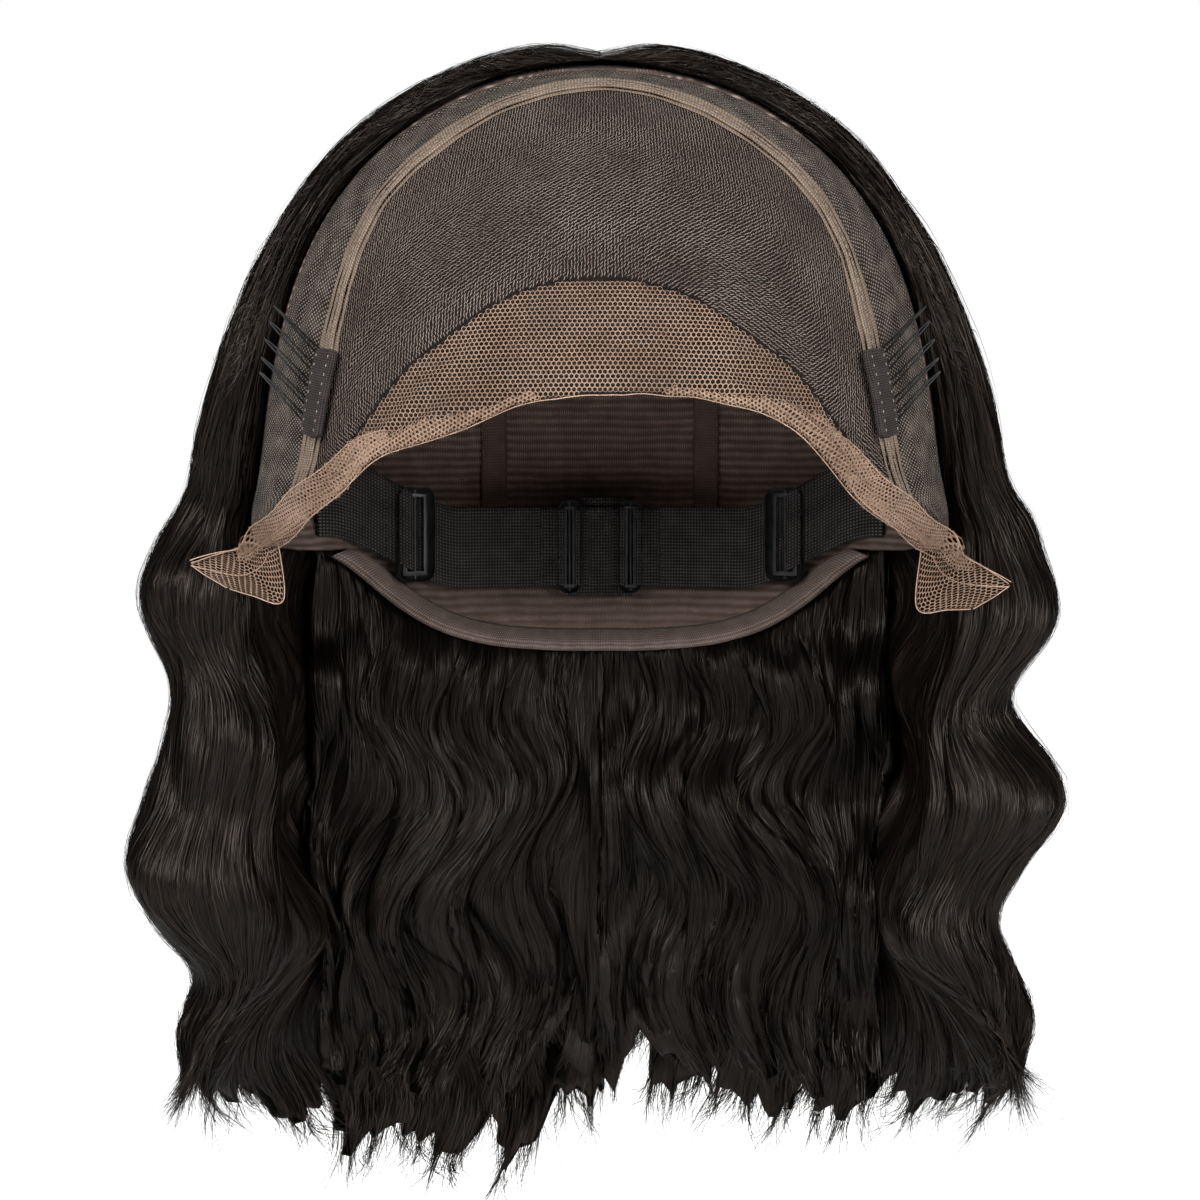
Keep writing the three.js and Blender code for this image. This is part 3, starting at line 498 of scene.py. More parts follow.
def stitchPiece(name, rows, length, gap, radius, up):
    # Rows of short stitches that lie along lines of points
    points, faces = [], []
    ring = np.radians(np.arange(5) * 72)
    for line in rows:
        line = np.asarray(line, float)
        run = np.concatenate([[0], np.cumsum(np.linalg.norm(np.diff(line, axis=0), axis=1))])
        starts = np.arange(gap / 2, run[-1] - length, length + gap)
        for start in starts:
            ends = [np.array([np.interp(at, run, line[:, k]) for k in range(3)])
                    for at in (start, start + length)]
            along = (ends[1] - ends[0]) / max(np.linalg.norm(ends[1] - ends[0]), 1e-9)
            high = up(ends[0])
            wide = np.cross(along, high)
            base = len(points)
            for share, size, lift in ((0, 0.1, -0.8), (0.2, 1, 0.3), (0.8, 1, 0.3), (1, 0.1, -0.8)):
                centre = mix(ends[0], ends[1], share) + high * lift * radius
                for angle in ring:
                    points.append(centre + (wide * np.cos(angle) + high * np.sin(angle)) * radius * size)
            for level in range(3):
                for k in range(5):
                    a, b = base + level * 5 + k, base + level * 5 + (k + 1) % 5
                    faces.append((a, b, b + 5, a + 5))
    piece = meshPiece(name, np.array(points), np.array(faces))
    faceOutward(piece)
    return piece


# Camera, floor and light
stage = {"lens": 112, "distance": 1100, "height": -155, "tilt": 3, "floor": -560, "wide": 9000,
         "floorGlow": 0.94, "skyLight": 0.11, "lampSize": 0.9}


def buildStage():
    tilt = math.radians(stage["tilt"])
    camera = bpy.data.objects.new("camera", bpy.data.cameras.new("camera"))
    bpy.context.scene.collection.objects.link(camera)
    camera.data.lens = stage["lens"]
    camera.data.sensor_width = 36
    camera.location = (0, -stage["distance"] * math.cos(tilt) * millimetre,
                       (stage["height"] + stage["distance"] * math.sin(tilt)) * millimetre)
    camera.rotation_euler = (math.radians(90) - tilt, 0, 0)
    bpy.context.scene.camera = camera
    deselect()
    bpy.ops.mesh.primitive_plane_add(size=stage["wide"] * millimetre,
                                     location=(0, 0, stage["floor"] * millimetre))
    floor = bpy.context.object
    floor.name = "floor"
    material, tree, shader = newMaterial("matt white paper", 0.9, {"Base Color": colour("#F7F7F7"),
                                                                    "Emission Color": (1, 1, 1, 1)})
    seen = node(tree, "ShaderNodeLightPath").outputs["Is Camera Ray"]
    tree.links.new(maths(tree, "MULTIPLY", seen, stage["floorGlow"]), shader.inputs["Emission Strength"])
    floor.data.materials.append(material)
    floor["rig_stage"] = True
    world = bpy.data.worlds.new("studio")
    bpy.context.scene.world = world
    bpy.context.scene.view_settings.view_transform = "Standard"
    world.use_nodes = True
    tree, sky = world.node_tree, world.node_tree.nodes["Background"]
    sky.inputs["Color"].default_value = (1, 1, 1, 1)
    seen = node(tree, "ShaderNodeLightPath").outputs["Is Camera Ray"]
    strength = node(tree, "ShaderNodeMapRange", {"To Min": stage["skyLight"], "To Max": 1.0}, {"Value": seen})
    tree.links.new(strength.outputs[0], sky.inputs["Strength"])
    for name, place, power in (("key", (-0.85, -1.4, 0.6), 30), ("fill", (1.05, -1.3, 0.35), 22),
                               ("back", (0, 1.3, 0.9), 12)):
        lamp = bpy.data.objects.new(name, bpy.data.lights.new(name, "AREA"))
        bpy.context.scene.collection.objects.link(lamp)
        lamp.data.size, lamp.data.energy = stage["lampSize"], power
        lamp.location = place
        lamp.rotation_mode = "QUATERNION"
        lamp.rotation_quaternion = (Vector((0, 0, -0.15)) - Vector(place)).to_track_quat("-Z", "Y")


buildStage()
print("stage ready")


# The cap's cloth
cap = {"panelColumns": 110, "panelRows": 28, "bandColumns": 150, "bandRows": 18, "wallColumns": 150,
       "wallRows": 48, "seamWidth": 2.6, "seamWall": 0.9, "tapeSpacing": 68, "tapeWidth": 8,
       "tapeWall": 0.9, "hemWidth": 8.5}
halfGap = walls["gap"] / 2 / math.radians(form["frontDepth"])
frontScale = 0.97  # arc along a meridian of the front for each radian, as a share of the ring


def flatOfFront(turn, back):  # the front laid flat about its middle
    reach = ringSize(turn) * np.radians(back) * frontScale
    return np.stack([reach * np.sin(np.radians(turn)), reach * np.cos(np.radians(turn))], -1)


def frontOfFlat(flat):
    turn = np.degrees(np.arctan2(flat[..., 0], flat[..., 1]))
    return turn, np.degrees(np.hypot(flat[..., 0], flat[..., 1]) / ringSize(turn) / frontScale)


def shiftedLine(column, shift):
    return lambda turn: faceLine(column, turn) + shift


def bandSheet(name, lowTurn, highTurn, columns, rows, lowLine, highLine, outside, thickness,
              relief=None, flat=None):
    def place(u, v):
        turn = mix(lowTurn, highTurn, u)
        back = mix(lowLine(turn), highLine(turn), v)
        lift = relief(turn, v) if relief else 0
        return capPoint(turn, back, outside + lift)
    def lay(u, v):
        turn = mix(lowTurn, highTurn, u)
        return flatOfFront(turn, mix(lowLine(turn), highLine(turn), v))
    return sheetPiece(name, columns, rows, place, flat or lay, thickness, formNormal)


clothField = noiseField(14, 22)


def clothWrinkle(turn, v):
    return 0.3 * readField(clothField, (turn + 110) / 220, v)


def panelRelief(turn, v):
    return clothWrinkle(turn, v) * np.sin(np.pi * np.clip(v, 0, 1)) ** 0.5


def buildPanel():
    panel = bandSheet("panel_net", -panelEnd, panelEnd, cap["panelColumns"], cap["panelRows"],
                      shiftedLine("hairline", halfGap), shiftedLine("seam", -halfGap),
                      walls["panel"], walls["panel"], panelRelief)
    finishPiece(panel, "panelCloth", ["lace_front_panel"])
    return panel


swirlField = noiseField(4, 8)
knots = {"pitch": 0.92, "length": 1.25, "width": 0.3, "lift": 0.16, "bend": 0.16}


def panelDepth(turn, back):  # 0 at the hairline, 1 at the seam
    front = faceLine("hairline", turn)
    return (back - front) / (faceLine("seam", turn) - front)


def buildKnots():
    # Short bent threads in staggered columns over the whole panel
    reach, pitch = 125, knots["pitch"]
    columns, rows = int(2 * reach / pitch), int(reach / knots["length"]) + 60
    i, j = np.meshgrid(np.arange(columns), np.arange(rows))
    x = (i - columns / 2) * pitch
    y = (j - 20) * knots["length"] * 0.98 + np.where(i % 2, knots["length"] / 2, 0)
    place = np.stack([x, y], -1).reshape(-1, 2)
    place += random.uniform(-0.12, 0.12, place.shape)
    turn, back = frontOfFlat(place)
    keep = (np.abs(turn) < panelEnd - 0.5) & (back > faceLine("hairline", turn) + 0.2) \
        & (back < faceLine("seam", turn) - 0.5)
    place = place[keep]
    count = len(place)
    bend = random.uniform(-1, 1, count) * knots["bend"]
    depth = panelDepth(turn, back)[keep]
    field = readField(swirlField, place[:, 0] / 260 + 0.5, place[:, 1] / 130)
    swirl = 1.5 * field * (1 - ease(depth, 0.3, 0.85))
    outwards = np.radians(55) * np.sign(place[:, 0]) * ease(np.abs(turn[keep]), 15, 60)
    swirl = swirl + outwards * (1 - ease(depth, 0.1, 0.6))
    lean = random.uniform(-0.22, 0.22, count)
    points = []
    for share, wide in ((-0.5, 0.35), (-0.17, 1.0), (0.17, 1.0), (0.5, 0.35)):
        along = share * knots["length"] * 1.05
        swerve = bend * math.sin(share * 2 * math.pi) + lean * along
        for side in (-1, 1):
            offset = swerve + side * wide * knots["width"] / 2
            spot = place + np.stack([np.cos(swirl) * offset + np.sin(swirl) * along,
                                     np.cos(swirl) * along - np.sin(swirl) * offset], -1)
            t, b = frontOfFlat(spot)
            lift = panelRelief(t, panelDepth(t, b)) + 0.06 + knots["lift"] * (wide > 0.5)
            points.append(capPoint(t, b, walls["panel"] + lift))
    points = np.stack(points, 1)  # count, 8, 3
    base = np.arange(count)[:, None] * 8
    faces = np.concatenate([base + np.array([[k, k + 1, k + 3, k + 2]]) for k in (0, 2, 4)])
    piece = meshPiece("lace_knots", points.reshape(-1, 3), faces)
    normal = np.array(piece.data.polygons[0].normal)
    if np.dot(normal, formNormal(points[0, 0])) < 0:
        piece.data.flip_normals()
    finishPiece(piece, "knotThread")
    print("knots:", count)


def buildBand():
    def relief(turn, v):  # a rolled outer edge and soft wrinkles along the band
        edge = 0.5 * np.exp(-((v - 0.97) / 0.04) ** 2)
        folds = 0.35 * np.exp(-((v - 0.24) / 0.05) ** 2) + 0.3 * np.exp(-((v - 0.4) / 0.06) ** 2)
        return edge + folds + clothWrinkle(turn, v)
    def lay(u, v):
        turn = mix(-tabEnd, tabEnd, u)
        return np.stack([turn * 1.7, v * 26], -1)
    band = bandSheet("band_mesh", -tabEnd, tabEnd, cap["bandColumns"], cap["bandRows"],
                     shiftedLine("seam", halfGap), shiftedLine("rim", -halfGap),
                     walls["band"], walls["band"], relief, lay)
    finishPiece(band, "bandKnit", ["ear_to_ear_band"])
    return band


def buildFrontSeam():
    # A bias tape with two narrow folds of lace beside it
    half = cap["seamWidth"] / 2 / math.radians(form["frontDepth"])
    wander = lambda turn: 0.35 * np.sin(turn * 0.31) + 0.25 * np.sin(turn * 0.83 + 1)
    under = walls["panel"] + walls["gap"]
    strips = (("seam_binding_tape", -half, half, 0.9, ["front_seam"]),
              ("seam_fold_near", half * 1.2, half * 2.6, 0.45, ()),
              ("seam_fold_far", half * 2.9, half * 4.4, 0.35, ()),
              ("seam_fold_panel", -half * 2.5, -half * 1.3, 0.3, ()))
    for name, low, high, height, nodes in strips:
        def roof(turn, v):
            return height * (np.sin(np.pi * v) ** 0.6 - 1) * 0.7
        def lay(u, v):
            return np.stack([mix(-160, 160, u), v * 3], -1)
        piece = bandSheet(name, -panelEnd, panelEnd, 150, 4,
                          lambda turn: faceLine("seam", turn) + low + wander(turn) * 0.4,
                          lambda turn: faceLine("seam", turn) + high + wander(turn + 9) * 0.4,
                          under + height, height * 0.5, roof, lay)
        finishPiece(piece, "seamTape", nodes)
    turns = np.linspace(-panelEnd, panelEnd, 500)
    rows = [capPoint(turns, faceLine("seam", turns) + shift * half, under + 0.9)
            for shift in (-0.55, 0.6)]
    stitches = stitchPiece("seam_stitches", rows, 1.7, 0.9, 0.16, formNormal)
    finishPiece(stitches, "stitchPale")


def neckEdge(turn):
    turn = np.abs(turn)
    return np.where(turn < tabEnd, faceLine("rim", turn), through(neckline, "turn", "edge", turn))


def hemShare(turn):
    grow = np.clip((np.abs(turn) - tabEnd) / 5, 0, 1)
    return grow * cap["hemWidth"] / math.radians(form["backDepth"]) * 1.04


def wallRelief(p):
    # The wefts press through in rows, with a few soft wrinkles near the nape
    soft = readField(clothField, p[..., 0] / 200 + 0.5, -p[..., 2] / 200)
    rows = 0.09 * np.sin(p[..., 2] * 2 * np.pi / 4.6 + 0.9 * np.sin(p[..., 0] / 19) + 2.2 * soft)
    return rows - 0.7 * np.abs(soft) * ease(p[..., 1], 10, 60)


def buildBackWall():
    def place(u, v):
        turn = mix(-180, 180, u)
        edge = neckEdge(turn) + halfGap + hemShare(turn)
        back = mix(edge, 180, np.minimum(v, 0.99999))
        outer = capPoint(turn, back, walls["back"])
        return outer + formNormal(outer) * wallRelief(outer)[..., None]
    def lay(u, v):
        p = place(u, v)
        side = np.sign(p[..., 0]) * np.degrees(np.arctan2(np.abs(p[..., 0]), np.maximum(p[..., 1], 1)))
        return np.stack([side * 1.65, p[..., 2]], -1)
    wall = sheetPiece("weft_wall", cap["wallColumns"], cap["wallRows"], place, lay, walls["back"],
                      formNormal, weld=True)
    finishPiece(wall, "weftCloth", ["back_wall"])
    return wall


def buildHem():
    # The binding is folded over the nape edge, fatter at its fold
    def pastNape(turn):
        return np.where(turn > 180, turn - 360, turn)
    outside = walls["back"]
    def place(u, v):
        turn = pastNape(mix(106, 254, u))
        across = np.where(v < 0.5, 1 - v * 2, v * 2 - 1)
        front = np.where(v < 0.5, outside - walls["hem"], outside)
        edge = neckEdge(turn)
        width = hemShare(turn) - halfGap
        bulge = 0.35 * np.sin(np.pi * across)
        pucker = 0.12 * np.sin(turn * 2.9) * across
        lift = np.where(v < 0.5, front - bulge + pucker, front + bulge)
        middle = outside - walls["hem"] / 2
        lift = mix(middle, lift, np.clip(across * 6, 0, 1) ** 0.5)
        return capPoint(turn, edge + width * across, lift)
    def lay(u, v):
        return np.stack([u * 240, v * 18], -1)
    hem = sheetPiece("nape_binding", 120, 12, place, lay, 0.5, lambda p: -formNormal(p))
    finishPiece(hem, "hemCloth", ["nape_hem"])
    turns = pastNape(np.linspace(107, 253, 400))
    width = hemShare(turns) - halfGap
    rows = [capPoint(turns, neckEdge(turns) + width * share, outside - walls["hem"] - 0.33)
            for share in (0.3, 0.8)]
    stitches = stitchPiece("hem_stitches", rows, 1.9, 1.1, 0.17, lambda p: -formNormal(p))
    finishPiece(stitches, "stitchDark")
    return hem


def buildTapes():
    inside = walls["gap"] + walls["facet"]
    lines = []
    for side, word in ((-1, "left"), (1, "right")):
        def place(u, v):
            x = side * cap["tapeSpacing"] / 2 + (v - 0.5) * cap["tapeWidth"]
            angle = np.radians(mix(74, -24, u))
            start = np.stack([x, 0 * x, 0 * x + earLevel], -1)
            direction = np.stack([0 * x, np.cos(angle), np.sin(angle)], -1)
            p = leaveForm(start, direction)
            edge = np.abs(v - 0.5) * 2
            depth = inside + cap["tapeWall"] * (1 - 0.5 * edge**6)
            ripple = 0.1 * np.sin(u * 160 + side)
            return p - formNormal(p) * (depth + ripple)[..., None]
        def lay(u, v):
            return np.stack([v * cap["tapeWidth"], u * 150], -1)
        tape = sheetPiece(f"back_tape_{word}", 90, 10, place, lay, cap["tapeWall"] * 0.8,
                          lambda p: -formNormal(p))
        finishPiece(tape, "tapeCloth", [f"seam_tape_{word}"])
        for share in (0.16, 0.84):
            u = np.linspace(0, 1, 120)
            lines.append(place(u, np.full(120, share)))
    levels = (-20, -36, -52, -68, -86, -104, -122)
    for level in levels:
        x = np.linspace(-80, 80, 160)
        z = level + 3 * np.cos(x / 34)
        start = np.stack([x, 0 * x, z], -1)
        ok = formValue(start) < 0.9
        p = leaveForm(start[ok], np.tile([0.0, 1, 0], (ok.sum(), 1)))
        lines.append(p - formNormal(p) * 0.25)
    stitches = stitchPiece("wall_stitches", lines, 2.0, 1.5, 0.15, lambda p: -formNormal(p))
    finishPiece(stitches, "stitchDark")


panel = buildPanel()
buildKnots()
band = buildBand()
buildFrontSeam()
backWall = buildBackWall()
hem = buildHem()
buildTapes()
print("cap cloth made")


# Free lace, a net with open cells
net = {"pitch": 1.36, "hole": 0.78, "doubledHole": 0.62, "ridge": 0.14, "edge": 0.3}
flap = {"reach": 116, "drop": 34, "forward": 46, "uneven": 6}
flapSections = {
    "topOut": [0.862, 0.9, 0.95, 1], "topFront": [0.5, 0.78, 0.9, 1], "topDown": [0.5, 0.55, 0.6, 0.66],
    "lowOut": [0.79, 0.775, 0.85, 0.91], "lowFront": [0.74, 0.86, 0.92, 0.98],
    "lowDown": [0.52, 0.98, 0.93, 0.86],
}


def hexCells(width, height, pitch, turn=0.0):
    columns, rows = int(width / pitch) + 4, int(height / pitch / 0.866) + 4
    i, j = np.meshgrid(np.arange(-columns, columns), np.arange(-rows, rows))
    centre = np.stack([(i + (j % 2) / 2) * pitch, j * pitch * 0.8660254], -1).reshape(-1, 2)
    angle = np.radians(30 + 60 * np.arange(6))
    corners = centre[:, None] + np.stack([np.cos(angle), np.sin(angle)], -1)[None] * pitch / math.sqrt(3)
    c, s = math.cos(turn), math.sin(turn)
    spin = np.array([[c, s], [-s, c]])
    return centre @ spin, corners @ spin


def netMesh(centre, corners, place, hole):
    count = len(centre)
    flat = corners.reshape(-1, 2)
    _, first, number = np.unique(np.round(flat / 0.02).astype(int), axis=0, return_index=True,
                                 return_inverse=True)
    number = number.reshape(count, 6)
    shared = flat[first]
    inner = centre[:, None] + (corners - centre[:, None]) * hole
    points = np.concatenate([place(shared, net["ridge"]), place(inner.reshape(-1, 2), 0.0)])
    rim = len(shared) + np.arange(count * 6).reshape(count, 6)
    after = np.roll(np.arange(6), -1)
    faces = np.stack([number, number[:, after], rim[:, after], rim], -1).reshape(-1, 4)
    return points, faces


foldField = noiseField(10, 26)


def laceOffset(turn, back):
    # Soft folds that run along the free edge at both sides, flat at the top of the face
    share = (back - freeLine(turn)) / np.maximum(faceLine("hairline", turn) - freeLine(turn), 1)
    side = ease(np.abs(turn), 28, 62)
    ripple = readField(foldField, (turn + 110) / 220, share)
    fold = 1.5 * np.exp(-((share - 0.34) / 0.13) ** 2) + 0.9 * np.exp(-((share - 0.72) / 0.1) ** 2)
    loose = np.sin(np.pi * np.clip(share, 0, 1)) ** 0.7
    edge = 1 - ease(share, 0, 0.14)
    return walls["lace"] / 2 + side * fold * (1 + 0.5 * ripple) + 0.5 * ripple * loose + 0.5 * edge * side


def frontNetPlace(lift=0.0):
    def place(flat, height):
        turn, back = frontOfFlat(flat)
        return capPoint(turn, back, laceOffset(turn, back) + lift + height)
    return place


def edgePoints(side, edge):
    rows = []
    for row in range(4):
        rows.append([side * flap["reach"] * flapSections[edge + "Out"][row],
                     -flap["forward"] * flapSections[edge + "Front"][row],
                     earLevel - flap["drop"] * flapSections[edge + "Down"][row]
                     - (flap["uneven"] * row / 3 if side > 0 else 0)])
    turns = side * np.array([89, 92.5, 96, 98.5, tabEnd])
    line = faceLine("hairline", turns) - halfGap if edge == "top" else freeLine(turns)
    return np.concatenate([capPoint(turns, line, walls["lace"] / 2), rows])


def splineThrough(points, at):  # Catmull-Rom, at in rows
    count = len(points)
    at = np.clip(at, 0, count - 1.0001)
    i = at.astype(int)
    s = (at - i)[..., None]
    get = lambda k: points[np.clip(k, 0, count - 1)]
    p0, p1, p2, p3 = get(i - 1), get(i), get(i + 1), get(i + 2)
    return 0.5 * (2 * p1 + (p2 - p0) * s + (2 * p0 - 5 * p1 + 4 * p2 - p3) * s**2
                  + (3 * p1 - p0 - 3 * p2 + p3) * s**3)


def flapSurface(side):
    top, low = edgePoints(side, "top"), edgePoints(side, "low")
    start = 4  # the row at the end of the cap
    station = np.linspace(start, len(top) - 1, 60)
    middle = (splineThrough(top, station) + splineThrough(low, station)) / 2
    run = np.concatenate([[0], np.cumsum(np.linalg.norm(np.diff(middle, axis=0), axis=1))])
    width = np.linalg.norm(splineThrough(top, station) - splineThrough(low, station), axis=1)
    def place(flat, height, lift=0.0):
        at = np.interp(flat[..., 0], run, station)
        wide = np.interp(flat[..., 0], run, width)
        share = flat[..., 1] / wide
        a, b = splineThrough(low, at), splineThrough(top, at)
        p = a + (b - a) * share[..., None]
        grow = ease(flat[..., 0], 0, 10)
        fold = 2.4 * np.exp(-((share - 0.56) / 0.12) ** 2) - 1.2 * np.exp(-((share - 0.84) / 0.1) ** 2)
        p[..., 1] -= fold * grow + 0.8 * np.sin(flat[..., 0] / 6 + share * 3) * grow + lift + height
        return p
    return place, run[-1], run, width


ribbon = {"turn": [76, 82, 88, 94], "share": [0.5, 0.5, 0.5, 0.45], "lift": [1.4, 2, 2.8, 3.6],
          "along": [5, 11, 18, 25], "flapShare": [0.7, 0.75, 0.8, 0.86],
          "width": [3, 7, 8.6, 9.4, 9.4, 9, 8, 6, 1.5]}


def foldRibbon(side, flapPlace, length, run, width):
    # The doubled fold leaves the cap, turns forward and runs out along the loose end
    turns = side * np.array(ribbon["turn"], float)
    backs = mix(freeLine(turns), faceLine("hairline", turns), np.array(ribbon["share"]))
    onCap = capPoint(turns, backs, np.array(ribbon["lift"]))
    along = np.append(np.minimum(ribbon["along"], length - 3), length - 0.5)
    wide = np.interp(along, run, width)
    onFlap = flapPlace(np.stack([along, wide * np.append(ribbon["flapShare"], 0.97)], -1), 0.0, 1.8)
    spine = np.concatenate([onCap, onFlap])
    reach = np.concatenate([[0], np.cumsum(np.linalg.norm(np.diff(spine, axis=0), axis=1))])
    widths = np.array(ribbon["width"], float)
    def place(flat, height, lift=0.0):
        at = np.interp(flat[..., 0], reach, np.arange(len(spine)))
        p = splineThrough(spine, at)
        heading = splineThrough(spine, at + 0.2) - splineThrough(spine, at - 0.2)
        wideWay = unit(np.stack([-heading[..., 2], 0 * at, heading[..., 0]], -1) * side)
        full = np.interp(flat[..., 0], reach, widths)
        share = flat[..., 1] / full
        p = p + wideWay * (flat[..., 1] + 0.5 * np.sin(flat[..., 0] / 5))[..., None]
        p[..., 1] -= 1.1 * np.cos(share * 5 + flat[..., 0] / 9) + lift + height
        return p
    return place, reach, widths


def buildLace():
    made = []
    centre, corners = hexCells(130, 130, net["pitch"])
    turn, back = frontOfFlat(centre)
    inside = (np.abs(turn) < tabEnd) & (back > freeLine(turn) + 0.25) \
        & (back < faceLine("hairline", turn) - halfGap - 0.1)
    turned, turnedCorners = hexCells(130, 130, net["pitch"] * 0.9, 0.5)
    foldTurn, foldBack = frontOfFlat(turned)
    foldWidth = 1.5 + 5.5 * ease(np.abs(foldTurn), 50, 80) - 2 * ease(np.abs(foldTurn), 90, 101)
    doubled = (np.abs(foldTurn) < tabEnd) & (np.abs(foldTurn) > 34) & (foldBack > freeLine(foldTurn) + 0.2) \
        & (foldBack < freeLine(foldTurn) + foldWidth)
    for side, word in ((-1, "left"), (1, "right")):
        parts = []
        half = centre[:, 0] * side > 0 if side > 0 else centre[:, 0] <= 0
        keep = inside & half
        parts.append(netMesh(centre[keep], corners[keep], frontNetPlace(), net["hole"]))
        keep = doubled & (turned[:, 0] * side > 0)
        parts.append(netMesh(turned[keep], turnedCorners[keep], frontNetPlace(0.75), net["doubledHole"]))
        place, length, run, width = flapSurface(side)
        c, k = hexCells(70, 70, net["pitch"])
        wide = np.interp(c[:, 0], run, width)
        keep = (c[:, 0] > -0.4) & (c[:, 0] < length - 0.3) & (c[:, 1] > 0.3) & (c[:, 1] < wide - 0.3)
        parts.append(netMesh(c[keep], k[keep], place, net["hole"]))
        ribbonPlace, reach, widths = foldRibbon(side, place, length, run, width)
        for turn, layer in ((0.2, 0.0), (0.9, 0.45)):
            c, k = hexCells(80, 12, net["pitch"] * 0.9, turn)
            wide = np.interp(c[:, 0], reach, widths)
            keep = (c[:, 0] > 0.3) & (c[:, 0] < reach[-1]) & (np.abs(c[:, 1]) < wide / 2)
            onRibbon = lambda flat, height, layer=layer: ribbonPlace(flat, height, layer)
            parts.append(netMesh(c[keep], k[keep], onRibbon, net["doubledHole"]))
        if side < 0:  # the left loose end runs the other way, so its faces are turned
            parts[2:] = [(points, faces[:, ::-1]) for points, faces in parts[2:]]
        piece = meshPiece(f"lace_edge_{word}", *joinParts(parts))
        finishPiece(piece, "laceThread", ["lace_edge"])
        print("net", word, len(piece.data.polygons) * 2, "triangles")
        turns = side * np.linspace(0.3, tabEnd, 150)
        rim = capPoint(turns, freeLine(turns), laceOffset(turns, freeLine(turns)) + 0.1)
        s = np.linspace(0, length, 40)
        w = np.interp(s, run, width)
        lowEdge = place(np.stack([s, 0 * s], -1), 0.0)
        topEdge = place(np.stack([s, w], -1), 0.0)
        endEdge = place(np.stack([np.full(20, length), np.linspace(0, w[-1], 20)], -1), 0.0)
        r = np.linspace(0.3, reach[-1], 40)
        edges = [ribbonPlace(np.stack([r, sign * np.interp(r, reach, widths) / 2], -1), 0.0, 0.2)
                 for sign in (-1, 1)]
        binding = tubePiece(f"lace_binding_{word}",
                            [rim[::2], lowEdge[::2], topEdge[::2], *edges, endEdge[::3]], net["edge"] / 2)
        finishPiece(binding, "foldThread")
        made.append(piece)
    return made


laces = buildLace()
print("free lace made")


# Strap, sliders and hooks
strap = {"height": 25, "wall": 1.1, "drop": 22, "rise": 17, "room": 5, "sewnRoom": 1.3,
         "span": 1.764 * form["halfWidth"], "sliderWidth": 11.6, "sliderPlace": 0.588 * form["halfWidth"],
         "hookWidth": 7.4, "hookPlace": 9.6, "frameHeight": 29.2, "frameBar": 1.6,
         "frameWall": 1.5, "tabWidth": 20, "tabHeight": 31, "tabWall": 0.8,
         "stitchPlaces": (-18.7, 0.6, 19.7, -66.6, 66.6)}


def strapMiddle(x):
    share = ease(np.abs(x), strap["span"] / 4, strap["span"] / 2)
    return earLevel - strap["drop"] + strap["rise"] * share


def strapDepth(x):
    x = np.asarray(x, float)
    low = np.stack([x, 0 * x, strapMiddle(x) - strap["height"] / 2], -1)
    p = leaveForm(low, np.broadcast_to(np.array([0.0, 1, 0]), low.shape))
    room = mix(strap["room"], strap["sewnRoom"], ease(np.abs(x), strap["sliderPlace"], strap["span"] / 2))
    return p[..., 1] - room / formNormal(p)[..., 1]


def strapPoint(x, v, forward, height):
    slope = (strapDepth(x + 1) - strapDepth(x - 1)) / 2
    across = np.stack([-slope, 1 + 0 * slope, 0 * slope], -1)
    across /= np.linalg.norm(across, axis=-1, keepdims=True)
    p = np.stack([x, strapDepth(x), strapMiddle(x) + (v - 0.5) * height], -1)
    return p - across * np.asarray(forward)[..., None]


towardsFace = lambda p: np.array([0.0, -1, 0])


def elasticPiece(name, low, high, nodes, forward, height, columns=26, thickness=None, crinkle=0.0):
    field = noiseField(8, 14)
    def place(u, v):
        x = mix(low, high, u)
        lift = forward(u) if callable(forward) else forward
        bead = 0.18 * np.exp(-((np.abs(v - 0.5) - 0.47) / 0.02) ** 2)
        return strapPoint(x, v, lift + bead + crinkle * readField(field, u, v), height)
    def lay(u, v):
        return np.stack([mix(low, high, u), v * height], -1)
    piece = sheetPiece(name, columns, 16, place, lay, thickness or strap["wall"], towardsFace)
    return finishPiece(piece, "elastic", nodes)


